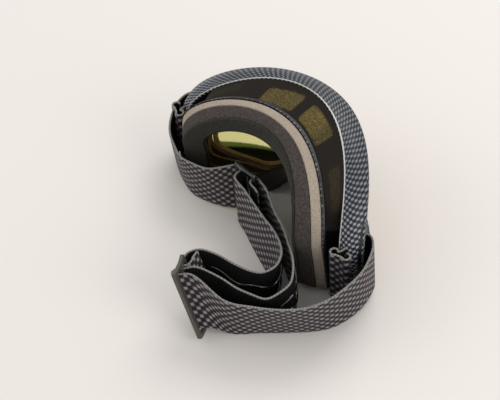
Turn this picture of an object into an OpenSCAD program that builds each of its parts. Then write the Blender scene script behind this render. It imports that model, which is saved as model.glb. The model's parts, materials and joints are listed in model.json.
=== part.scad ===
// Motocross goggles standing on their lower edge, with the two straps folded in behind them.
// X runs to the wearer's right, Y forward through the lens and Z up from the table.
// The rims are superellipse loops seen from the front, wrapped back in plan along a parabola.

/* [Frame] */
// Half width of the rear flange that carries the foam
flange_half_w = 72.4; // [69:0.2:75]
// Height of the rear flange at the brow
flange_top = 85.8; // [82:0.2:90]
// Depth of the frame from the rear flange to the piped edge, at the brow
frame_depth = 24; // [21:0.5:27]
// Depth of the printed band from the piped edge to the front rim, at the brow
band_depth = 15; // [12:0.5:18]
// How far the front rim stands out past the flange at each temple
rim_flare = 18.6; // [17:0.2:20]
// Thickness of the rear flange
flange_t = 2.2; // [1.8:0.1:2.8]
// Wall between the flange and the lens seat
wall_t = 2.2; // [1.8:0.1:2.8]
// Radius of the flange's wrap round the face, at the brow
wrap_r = 77.4; // [74:0.2:82]
// Height of the nose cut-out
nose_rise = 23; // [20:1:32]
// Half width of the nose cut-out
nose_half_w = 27; // [22:1:32]
// How far the foot of the frame swings forward, for each millimetre down
cheek = 0.09; // [0:0.01:0.2]
// How far the foot of the frame spreads, for each millimetre down
splay = 0.08; // [0:0.01:0.12]

/* [Lens] */
// Half width of the lens opening
lens_half_w = 70; // [66:0.5:71]
// Top of the lens opening
lens_top = 79; // [74:0.5:80]
// Bottom of the lens opening on each side of the nose
lens_bottom = 8; // [7:0.2:10]
// Thickness of the lens
lens_t = 1.2; // [0.8:0.1:1.4]
// How deep the lens edge sits in the frame's groove
lens_bite = 2.2; // [1.5:0.1:2.4]
// Clearance round the lens edge
lens_gap = 0.4; // [0.3:0.05:0.5]
// Radius of a tear-off post
post_r = 2; // [1.4:0.1:2.4]
// Length of a tear-off post's straight shaft
post_l = 3; // [2:0.1:4]

/* [Foam] */
// Width of the foam ring at the flange
foam_w = 11.5; // [9:0.5:13]
// Thickness of the fleece that lies on the face
fleece_t = 2.2; // [1.5:0.1:3]
// Thickness of the thin foam over the vents
vent_foam_t = 1.4; // [0.8:0.1:1.5]
// Gap at which one soft layer lies on its neighbour
soft_gap = 0.3; // [0.2:0.05:0.4]

/* [Straps] */
// Width of the elastic strap
strap_w = 45; // [43:0.5:46]
// Thickness of the elastic strap
strap_t = 2; // [1.6:0.1:2.2]
// Height of the strap's lower edge where it leaves the frame
strap_lift = 5.4; // [4.8:0.1:6]
// Clearance between the strap and the bars and slots it runs through
strap_gap = 0.4; // [0.3:0.05:0.5]
// Width of a silicone grip line
grip_w = 1.6; // [1:0.1:2.4]
// Height of a silicone grip line on the strap
grip_t = 0.5; // [0.3:0.05:0.8]
// Swing of a grip line to each side
grip_swing = 2.2; // [1:0.1:3]
// Length of one wave of a grip line
grip_wave = 24; // [16:1:36]

/* [Sliders] */
// Distance between a slider's bars
bar_pitch = 8.8; // [8.6:0.1:9.2]
// Width of a slider's bar
bar_w = 2.6; // [2.4:0.1:2.8]
// Thickness of a slider
slider_t = 2.4; // [2.2:0.1:2.6]
// Spare height of the slots, which the strap runs through
slot_room = 3; // [2:0.2:5]
// Height of a slider's closed ends
slider_end = 3; // [2.5:0.1:3.5]
// How far a slider bows from end bar to end bar
slider_bow = 1; // [0.5:0.1:1.4]

/* [Hidden] */

// Each rim is [half width, top, middle height, bottom, y at the brow, wrap radius,
// roundness above, roundness below, share of the foot's swing]
flange_rim = [flange_half_w, flange_top, 50, 0.3, -2.4, wrap_r, 2, 11, 1];
piped_rim = [flange_half_w + 5.6, flange_top + 4.2, 46, 0, -2.4 + frame_depth, wrap_r - 15.4, 2.02, 8, 1];
front_rim = [flange_half_w + rim_flare, flange_top - 2, 32, 0, -2.4 + frame_depth + band_depth,
    wrap_r - 4.2, 2.7, 8, 1];
crown_rim = (piped_rim + front_rim) / 2 + [1.5, 0.9, 0, 0, 0.4, -1.3, 0, 0, 0];
lens_rim = [lens_half_w, lens_top, 38, lens_bottom, -2.4 + frame_depth + 0.4, wrap_r - 10.4, 2.5, 3.6, 0];
tan_rim = [flange_half_w - 5.6, flange_top - 0.4, 45.5, 0.4, -9.2, wrap_r - 6.4, 2.2, 11, 1];
face_rim = [flange_half_w - 14.6, flange_top - 3.4, 49, 1, -16.3, wrap_r - 22, 2.02, 10, 1];

// Steps round a rim lie closer together over the nose
function angles(wide, close) = concat(
    [for (i = [0:wide - 1]) -66 + i * 312 / wide],
    [for (i = [0:close - 1]) 246 + i * 48 / close]
);
rim_angles = angles(70, 22);
ring_angles = angles(54, 18);

function clamp01(v) = min(1, max(0, v));
function ease(v) = let (q = clamp01(v)) q * q * (3 - 2 * q);
function mix(a, b, f) = a * (1 - f) + b * f;
function nose(x) = abs(x) < nose_half_w ? nose_rise * pow(cos(90 * x / nose_half_w), 2) : 0;

// Point on a rim at angle t, drawn in by inset and moved forward by dy
function rim_pt(rim, t, inset = 0, dy = 0) =
    let (
        c = cos(t),
        s = sin(t),
        up = s >= 0,
        n = up ? rim[6] : rim[7],
        k = pow(pow(abs(c), n) + pow(abs(s), n), -1 / n),
        drop = up ? 0 : (rim[2] - rim[3] - inset) * -s * k,
        x = (rim[0] - inset + rim[8] * splay * drop * min(1, drop / 40)) * c * k,
        rise = up ? (rim[1] - rim[2] - inset) * s * k : nose(x) * -s * k
    )
    [x, rim[4] + dy - x * x / (2 * rim[5]) + rim[8] * cheek * drop, rim[2] - drop + rise];

// Angle above or below the temple line, and how far a place counts as temple
function from_side(t) = let (a = (t + 360) % 180) a < 90 ? a : 180 - a;
function is_low(t) = t < 0 || t > 180;
function temple(t) = is_low(t)
    ? 1 - ease((from_side(t) - 54) / 20)
    : 1 - ease((from_side(t) - 14) / 24);
function wall_inset(t) = 5 * temple(t) + (is_low(t) ? 1.2 * (1 - temple(t)) : 0);

// Outline of the frame's section at angle t, from the flange round to the lens groove and back
function frame_section(t) =
    let (
        side = temple(t),
        in = wall_inset(t),
        nose_in = rim_pt(front_rim, t, 1.4, 0.4),
        lip = rim_pt(lens_rim, t, -4.2, 3.2),
        groove = lens_t / 2 + lens_gap,
        depth = -lens_bite - lens_gap,
        wall_rear = rim_pt(flange_rim, t, 2.2 + in + wall_t, flange_t)
    )
    [
        rim_pt(flange_rim, t),
        rim_pt(flange_rim, t, 0, flange_t),
        rim_pt(flange_rim, t, 2.2 + in, flange_t),
        rim_pt(piped_rim, t, 1.8 + in, 0.9),
        rim_pt(piped_rim, t, 1.3),
        rim_pt(piped_rim, t),
        rim_pt(crown_rim, t),
        rim_pt(front_rim, t, 0, -1.2),
        nose_in,
        mix(mix(nose_in, lip, 0.25), rim_pt(crown_rim, t, 1.6, 1.6), side),
        mix(mix(nose_in, lip, 0.5), rim_pt(piped_rim, t, 1.5, 3.2), side),
        mix(mix(nose_in, lip, 0.75), rim_pt(piped_rim, t, 3.6, 3.2), side),
        lip,
        rim_pt(lens_rim, t, 0, 2.2),
        rim_pt(lens_rim, t, 0, groove),
        rim_pt(lens_rim, t, depth, groove),
        rim_pt(lens_rim, t, depth, -groove),
        rim_pt(lens_rim, t, 0, -groove),
        rim_pt(lens_rim, t, 0, -2.6),
        mix(wall_rear, rim_pt(piped_rim, t, 1.8 + in + wall_t, -1.2), 0.74),
        wall_rear,
        rim_pt(flange_rim, t, 10 + 2 * side, flange_t),
        rim_pt(flange_rim, t, 10 + 2 * side)
    ];

// A closed ring from one section for each step, and an open run with its two ends closed.
// Neighbouring layers are cut along the same diagonals, so they lie flush.
function ring_faces(rings, m) = [
    for (i = [0:rings - 1], j = [0:m - 1], k = [0, 1])
        let (
            a = i * m + j,
            b = i * m + (j + 1) % m,
            c = ((i + 1) % rings) * m + j,
            d = ((i + 1) % rings) * m + (j + 1) % m
        )
        j == 0
            ? (k == 0 ? [a, c, d] : [a, d, b])
            : (k == 0 ? [a, c, b] : [b, c, d])
];
function run_faces(rings, m) = concat(
    [
        for (i = [0:rings - 2], j = [0:m - 1], k = [0, 1])
            let (a = i * m + j, b = i * m + (j + 1) % m, c = a + m, d = b + m)
            k == 0 ? [a, c, b] : [b, c, d]
    ],
    [for (j = [0:m / 2 - 2]) [j, j + 1, m - 2 - j, m - 1 - j]],
    [for (j = [0:m / 2 - 2], e = (rings - 1) * m) [e + m - 1 - j, e + m - 2 - j, e + j + 1, e + j]]
);
function flat(list) = [for (a = list, b = a) b];

module ring(sections) {
    polyhedron(flat(sections), ring_faces(len(sections), len(sections[0])), 12);
}

module run(sections) {
    polyhedron(flat(sections), run_faces(len(sections), len(sections[0])), 12);
}

// Everything stands with the middle of its box, seen from above, on the origin
module placed() {
    translate([-middle[0], -middle[1], 0]) children();
}

// Vent windows, each [angle near the brow, angle near the temple, then how far forward
// its two ends reach, as shares of the depth from the flange to the piped edge]
top_windows = [[86, 70, 0.3, 0.86, 0.34, 0.74], [64, 38, 0.34, 0.78, 0.46, 0.6]];
low_windows = [[296, 318, 0.26, 0.74, 0.35, 0.68]];
window_r = 2.6;
function wall_mid(t, f) =
    let (in = wall_inset(t) + 1.1)
    mix(rim_pt(flange_rim, t, 2.2 + in, flange_t), rim_pt(piped_rim, t, 1.8 + in, 0.9), f);

module window(w, flip) {
    corners = [[w[0], w[2]], [w[0], w[3]], [w[1], w[4]], [w[1], w[5]]];
    hull()
        for (q = corners)
            translate(wall_mid(flip ? 540 - q[0] : q[0], q[1])) sphere(r = window_r, $fn = 12);
}

// The slot behind the band at each temple, which the strap comes through
slot_top = strap_lift + strap_w + 1.2;
slot_foot = strap_lift - 1.4;
slot_x = flange_half_w + 9.4;
slot_y = rim_pt(flange_rim, 0)[1] + 10.76;
module strap_slot() {
    hull()
        for (x = [-1.8, 1.7], y = [-8, 11])
            translate([slot_x + x - 0.12 * y, slot_y + y, slot_foot])
                cylinder(r = 1.2, h = slot_top - slot_foot, $fn = 16);
}

module frame() {
    color("dimgray") placed()
        difference() {
            ring([for (t = rim_angles) frame_section(t)]);
            for (w = concat(top_windows, low_windows), flip = [false, true]) window(w, flip);
            for (side = [0, 1]) mirror([side, 0, 0]) strap_slot();
        }
}

// The lens is a sheet bent in plan and cut to its outline from the front
module bent_sheet(t, reach) {
    n = 30;
    y = function (x, off) lens_rim[4] + off - x * x / (2 * lens_rim[5]);
    xs = [for (i = [0:n]) reach * (2 * i / n - 1)];
    translate([0, 0, -5])
        linear_extrude(height = lens_top + 20)
            polygon(concat(
                [for (x = xs) [x, y(x, -t / 2)]],
                [for (i = [n:-1:0]) [xs[i], y(xs[i], t / 2)]]
            ));
}

module lens_outline(inset) {
    polygon([for (t = rim_angles) let (p = rim_pt(lens_rim, t, inset)) [p[0], p[2]]]);
}

// A run along Y, high enough to pass right through the bent sheet
module through_lens() {
    translate([0, 80, 0]) rotate([90, 0, 0]) linear_extrude(height = 160) children();
}

module lens() {
    color("gold", 0.6) placed()
        intersection() {
            bent_sheet(lens_t, lens_half_w + 6);
            through_lens() lens_outline(-lens_bite);
        }
}

// A thin gasket lies behind the lens, round the edge of the opening
gasket_w = 2.4;
gasket_t = 1;
gasket_in = 0.7;
module lens_gasket() {
    color("goldenrod") placed()
        ring([
            for (t = ring_angles)
                let (y = -lens_t / 2 - soft_gap)
                [
                    rim_pt(lens_rim, t, gasket_in, y),
                    rim_pt(lens_rim, t, gasket_in + gasket_w, y),
                    rim_pt(lens_rim, t, gasket_in + gasket_w, y - gasket_t),
                    rim_pt(lens_rim, t, gasket_in, y - gasket_t)
                ]
        ]);
}

// Two posts at each end of the lens, to hang tear-off films on
post_x = lens_half_w - 9;
post_heights = [34, 56];
function lens_slope(x) = atan(x / lens_rim[5]);
module tear_off_posts() {
    color("whitesmoke") placed()
        for (side = [-1, 1], z = post_heights)
            translate([side * post_x, lens_rim[4] - post_x * post_x / (2 * lens_rim[5]), z])
                rotate([-90, 0, -side * lens_slope(post_x)])
                    translate([0, 0, lens_t / 2 + 0.3]) {
                        cylinder(r = post_r + 1.2, h = 0.8, $fn = 32);
                        cylinder(r = post_r, h = 0.8 + post_l, $fn = 32);
                        translate([0, 0, 0.8 + post_l])
                            cylinder(r1 = post_r, r2 = post_r - 0.6, h = 0.6, $fn = 32);
                    }
}

// One layer of foam between an outer rim and the next
module foam_layer(front, front_in, front_dy, rear, rear_in, rear_dy, inner_front, inner_rear) {
    ring([
        for (t = ring_angles)
            [
                rim_pt(front, t, front_in, front_dy),
                rim_pt(front, t, inner_front, front_dy),
                rim_pt(rear, t, inner_rear, rear_dy),
                rim_pt(rear, t, rear_in, rear_dy)
            ]
    ]);
}

module foam_base_layer() {
    color("tan") placed()
        foam_layer(flange_rim, 0.5, -soft_gap - 0.15, tan_rim, 0, 0, foam_w, foam_w);
}

module foam_middle_layer() {
    color("dimgray") placed()
        foam_layer(tan_rim, 0, -soft_gap, face_rim, 0, 0, foam_w, foam_w + 0.5);
}

module foam_face_layer() {
    color("darkslategray") placed()
        foam_layer(face_rim, 0, -soft_gap, face_rim, 1, -soft_gap - fleece_t, foam_w + 0.5, foam_w);
}

// Thin foam over the vents, from the flange to the piped edge
module vent_foam(steps, gap) {
    run([
        for (t = steps)
            let (in = wall_inset(t) - gap)
            [
                rim_pt(flange_rim, t, 2.2 + in, flange_t + 0.5),
                rim_pt(flange_rim, t, 2.2 + in - vent_foam_t, flange_t + 0.5),
                rim_pt(piped_rim, t, 1.8 + in - vent_foam_t, -0.6),
                rim_pt(piped_rim, t, 1.8 + in, -0.6)
            ]
    ]);
}

module top_vent_foam() {
    color("#1c1b18") placed() vent_foam([for (t = rim_angles) if (t > 8 && t < 172) t], soft_gap);
}

module bottom_vent_foam() {
    low = [for (t = rim_angles) if (t > 219) t];
    color("#1c1b18") placed() vent_foam(concat(low, [for (t = rim_angles) if (t < -39) t]), 0.5);
}

// Level of the foam's rear at the temples, from which the folded straps are set out
back_y = rim_pt(face_rim, 0)[1];

// A strap is a run of places, each [lower edge, upper edge]. A place is given by its
// lower edge and by how far the upper edge leans away from it in plan.
function place(x, y, z, lean_x = 0, lean_y = 0) =
    [[x, y, z], [x + lean_x, y + lean_y, z + sqrt(strap_w * strap_w - lean_x * lean_x - lean_y * lean_y)]];

// Where each slider stands: the foot of its first bar, then along the bars' row, up and through
left_at = [[-15, back_y + 11.95, 0.8], [0.9986, 0.0523, 0], [0, 0, 1], [0.0523, -0.9986, 0]];
lean_up = let (v = [-0.332, -0.025, 0.943]) v / norm(v);
row_dir = let (v = [-0.6, 0.76, -0.191]) v / norm(v);
right_at = [[49.6, back_y - 71.45, 4], row_dir, lean_up, cross(row_dir, lean_up)];
slider_slot = strap_w + slot_room;
slider_h = slider_slot + 2 * slider_end;
strap_rise = slider_end + 0.5;

// A place on a strap given in a slider's own directions, along the row and through it
function at_slider(s, u, n) =
    let (p = s[0] + s[1] * u + s[3] * n + s[2] * strap_rise)
    [p, p + s[2] * strap_w];
bend_r = norm([bar_w, slider_t]) / 2 + strap_gap + strap_t / 2;
function bend(s, u, n, r, a0, a1, steps) =
    [for (i = [0:steps]) let (a = a0 + (a1 - a0) * i / steps) at_slider(s, u + r * cos(a), n + r * sin(a))];

// The end of a strap is sewn into two tubes that cannot pass the slot
roll_r = 2.6;
function tube(x, y, a0, a1) = [
    for (i = [0:6])
        let (a = a0 + (a1 - a0) * i / 6)
        place(slot_x + x + roll_r * cos(a), slot_y + y + roll_r * sin(a), strap_lift)
];
roll_and_slot = concat(
    tube(5.6, -4.6, 110, -110),
    tube(-2, -7.4, -28, -312),
    [
        place(slot_x + 0.6, slot_y - 2.6, strap_lift),
        place(slot_x, slot_y + 2, strap_lift),
        place(slot_x - 0.8, slot_y + 9, strap_lift)
    ]
);
function mirrored(list) = [for (p = list) [[-p[0][0], p[0][1], p[0][2]], [-p[1][0], p[1][1], p[1][2]]]];

left_places = concat(
    mirrored(roll_and_slot),
    [
        place(-slot_x + 0.8, slot_y + 15, strap_lift),
        place(-slot_x - 3.2, slot_y + 18.5, 5.3, 0.5, -1),
        place(-slot_x - 8.2, slot_y + 16.5, 4.8, 1.5, -1.5),
        place(-slot_x - 12.4, slot_y + 10, 4, 1.8, -2),
        place(-slot_x - 13, slot_y + 1, 3, 4, -3),
        place(-slot_x - 8.7, back_y + 14.45, 1.6, 7, -6.5),
        place(-slot_x - 2.2, back_y + 8.45, 0.8, 9.5, -8),
        place(-75, back_y + 4.25, 0.9, 12.5, -8.6),
        place(-64.5, back_y + 0.85, 0.9, 12, -8),
        place(-52, back_y - 1.05, 0.9, 10, -4.5),
        place(-39.5, back_y + 2.45, 0.9, 8.5, -3.5),
        place(-27, back_y + 7.85, 2.2, 3, -2.2)
    ],
    bend(left_at, 0, -slider_bow / 3, bend_r, 240, 355, 5),
    [
        at_slider(left_at, 4.8, 6),
        place(0, back_y + 3.95, 2, 2, 1),
        place(10, back_y + 0.95, 0.9, 4, 2),
        place(22, back_y - 2.55, 0.9, 5, 3),
        place(35, back_y - 6.05, 0.9, 5, 4.5),
        place(46.5, back_y - 9.55, 0.9, 4.5, 4),
        place(54.5, back_y - 14.05, 0.9, 3.5, 3),
        place(59, back_y - 20.55, 0.9, 3, 1),
        place(59.5, back_y - 26.55, 0.9, 1, -1),
        place(55.5, back_y - 32.05, 0.9, 0, 0),
        place(46, back_y - 36.55, 0.9, -2, 0),
        place(37, back_y - 40.05, 0.9, -7, 0),
        place(31.5, back_y - 45.05, 0.4, -13, 0),
        place(31.5, back_y - 51.55, 1.2, -15.6, -0.5)
    ],
    bend(right_at, 2 * bar_pitch, -slider_bow / 3, bend_r, -55, -165, 5),
    [
        at_slider(right_at, 2 * bar_pitch - 2.4, 2.4),
        at_slider(right_at, 2 * bar_pitch + 0.5, 4),
        at_slider(right_at, 2 * bar_pitch + 5, 4.2),
        at_slider(right_at, 2 * bar_pitch + 10, 5.4)
    ]
);

fold_r = 2.8;
right_places = concat(
    roll_and_slot,
    [
        place(slot_x - 0.8, slot_y + 15, strap_lift),
        place(slot_x + 3.2, slot_y + 19, 5.3, 0.5, -1.5),
        place(slot_x + 8.2, slot_y + 17, 5, 1.5, -3),
        place(slot_x + 12.7, slot_y + 10, 5, 3, -4.5),
        place(slot_x + 16.2, slot_y - 0.5, 4.6, 4, -4),
        place(slot_x + 16.7, back_y + 8.45, 3.4, 5, -4),
        place(slot_x + 13.7, back_y - 3.05, 1.4, 7, -6),
        place(slot_x + 7.7, back_y - 13.55, 0.9, 9, -8.5),
        place(81, back_y - 24.55, 0.9, 9.5, -9.5),
        place(68.5, back_y - 39.55, 0.9, 7.5, -8.5),
        place(58.5, back_y - 52.05, 0.6, 2, -6.5)
    ],
    [at_slider(right_at, 5.2, 8)],
    bend(right_at, bar_pitch, -3.4, fold_r, 180, 360, 8),
    [
        at_slider(right_at, bar_pitch + fold_r, 1.5),
        at_slider(right_at, bar_pitch + fold_r + 0.6, 9),
        place(52.5, back_y - 51.05, 1.2, -6, 1.5),
        place(58, back_y - 46.05, 0.4, 0, -1),
        place(64.5, back_y - 41.15, 0.9, 3.5, -2.4),
        place(70.5, back_y - 33.35, 0.9, 6.5, -5),
        place(75.2, back_y - 27.05, 0.9, 3.8, -3),
        place(76, back_y - 19.55, 0.9, 2, -1),
        place(72, back_y - 13.05, 0.9, 0, 0),
        place(64, back_y - 6.75, 0.9, 0, 0),
        place(54, back_y - 1.55, 0.9, 0, 0),
        place(41, back_y + 4.45, 0.9, 0, 0),
        place(26, back_y + 9.45, 0.6, 0, 0),
        at_slider(left_at, 2 * bar_pitch + 10, -1.2),
        at_slider(left_at, 2 * bar_pitch + 4, -2.7)
    ],
    bend(left_at, 2 * bar_pitch, -slider_bow / 3, bend_r, -90, -270, 6),
    [
        at_slider(left_at, 2 * bar_pitch + 4, 3.5),
        at_slider(left_at, 2 * bar_pitch + 8, 4.6)
    ]
);

// A smooth curve through the places. A short step between long ones keeps its own direction.
function step_root(p, q) = sqrt(max(0.01, norm(p[0] + p[1] - q[0] - q[1]) / 2));
function curve_pt(a, b, c, d, f) =
    let (r = step_root(a, b), s = step_root(b, c), t = step_root(c, d), g = f * f)
    [
        for (e = [0, 1])
            let (
                go = c[e] - b[e] + ((b[e] - a[e]) / r - (c[e] - a[e]) / (r + s)) * s,
                come = c[e] - b[e] + ((d[e] - c[e]) / t - (d[e] - b[e]) / (s + t)) * s
            )
            b[e] * (1 - 3 * g + 2 * g * f) + go * (f - 2 * g + g * f) + c[e] * (3 - 2 * f) * g + come * (f - 1) * g
    ];
function smooth(list, cuts) =
    let (n = len(list))
    concat(
        [
            for (i = [0:n - 2], k = [0:cuts - 1])
                curve_pt(list[max(i - 1, 0)], list[i], list[i + 1], list[min(i + 2, n - 1)], k / cuts)
        ],
        [list[n - 1]]
    );
function sideways(list, i) =
    let (
        n = len(list),
        a = list[max(i - 1, 0)],
        b = list[min(i + 1, n - 1)],
        along = (b[0] + b[1] - a[0] - a[1]) / 2,
        out = cross(along, list[i][1] - list[i][0])
    )
    out / norm(out);

// Sections of a band that lies from one share of the strap's width to another, and from
// one distance to another off its middle plane
function band(list, i, lo, hi, near, far) =
    let (
        p = list[i],
        q = sideways(list, i),
        low = mix(p[0], p[1], lo),
        high = mix(p[0], p[1], hi)
    )
    hi - lo > 0.5
        ? let (mid = (low + high) / 2)
            [low + q * near, mid + q * near, high + q * near, high + q * far, mid + q * far, low + q * far]
        : [low + q * near, high + q * near, high + q * far, low + q * far];

strap_cuts = 2;
left_line = smooth(left_places, strap_cuts);
right_line = smooth(right_places, strap_cuts);
function strap_sections(line) =
    [for (i = [0:len(line) - 1]) band(line, i, 0, 1, -strap_t / 2, strap_t / 2)];
left_sections = strap_sections(left_line);
right_sections = strap_sections(right_line);

module left_strap() {
    color("#3a3638") placed() run(left_sections);
}

module right_strap() {
    color("#3a3638") placed() run(right_sections);
}

// Silicone lines wave along the inner face, from one place to another
function grip_line(line, first, last, mid, inner) =
    [
        for (i = [first * strap_cuts:last * strap_cuts])
            let (
                run_mm = arc_to(line, first * strap_cuts, i),
                c = mid + grip_swing / strap_w * sin(360 * run_mm / grip_wave),
                h = grip_w / 2 / strap_w,
                near = strap_t / 2 + soft_gap + 0.35
            )
            inner > 0
                ? band(line, i, c - h, c + h, near, near + grip_t)
                : band(line, i, c - h, c + h, -near - grip_t, -near)
    ];
function arc_to(line, a, b) =
    b <= a ? 0 : norm(line[b][0] - line[b - 1][0]) + arc_to(line, a, b - 1);

grip_mids = [0.36, 0.66];
module grips(line, spans, inner) {
    for (s = spans, m = grip_mids) run(grip_line(line, s[0], s[1], m, inner));
}

left_first = len(roll_and_slot);
module left_strap_grips() {
    color("black") placed() grips(left_line, [[38, 48]], -1);
}

module right_strap_grips() {
    color("black") placed() grips(right_line, [[21, 27], [44, 50]], 1);
}

// A slider has three bars between two closed ends, and bows a little along its row
module slider_blank() {
    w = 2 * bar_pitch + bar_w;
    r = ((w / 2) * (w / 2) + slider_bow * slider_bow) / (2 * slider_bow);
    intersection() {
        translate([bar_pitch, r - slider_bow / 2, 0])
            difference() {
                cylinder(r = r + slider_t / 2, h = slider_h, $fn = 180);
                translate([0, 0, -1]) cylinder(r = r - slider_t / 2, h = slider_h + 2, $fn = 180);
            }
        translate([0, 20, 0]) rotate([90, 0, 0])
            linear_extrude(height = 40)
                difference() {
                    slider_outline(w);
                    for (i = [0, 1])
                        translate([bar_w / 2 + i * bar_pitch, slider_end])
                            square([bar_pitch - bar_w, slider_slot]);
                }
    }
}

module slider_outline(w) {
    corner = 1.4;
    translate([-bar_w / 2, 0]) {
        translate([corner, 0]) square([w - 2 * corner, slider_h]);
        translate([0, corner]) square([w, slider_h - 2 * corner]);
        for (x = [corner, w - corner], y = [corner, slider_h - corner])
            translate([x, y]) circle(r = corner, $fn = 24);
    }
}

// Turns a slider's own directions, row, through and up, to where it stands
module stand(s) {
    n = s[3];
    multmatrix([
        [s[1][0], -n[0], s[2][0], s[0][0]],
        [s[1][1], -n[1], s[2][1], s[0][1]],
        [s[1][2], -n[2], s[2][2], s[0][2]],
        [0, 0, 0, 1]
    ])
        children();
}

module left_slider() {
    color("#2b2b2d") placed() stand(left_at) slider_blank();
}

module right_slider() {
    color("#6d6d6b") placed() stand(right_at) slider_blank();
}

// Middle of the whole, seen from above
all_points = concat(flat(left_sections), flat(right_sections));
front_y = rim_pt(front_rim, 270, 1.4, 0.4)[1];
slider_corner = right_at[0] + lean_up * (slider_h - 1) - row_dir * bar_w / 2 - right_at[3] * slider_t * 0.6;
middle = [
    (min([for (p = all_points) p[0]]) + max([for (p = all_points) p[0]])) / 2,
    (min(slider_corner[1], min([for (p = all_points) p[1]])) + front_y) / 2
];

frame();
lens();
lens_gasket();
tear_off_posts();
foam_base_layer();
foam_middle_layer();
foam_face_layer();
top_vent_foam();
bottom_vent_foam();
left_strap();
left_strap_grips();
right_strap();
right_strap_grips();
left_slider();
right_slider();
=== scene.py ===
"""Motocross goggles with folded straps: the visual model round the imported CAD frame."""

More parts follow.
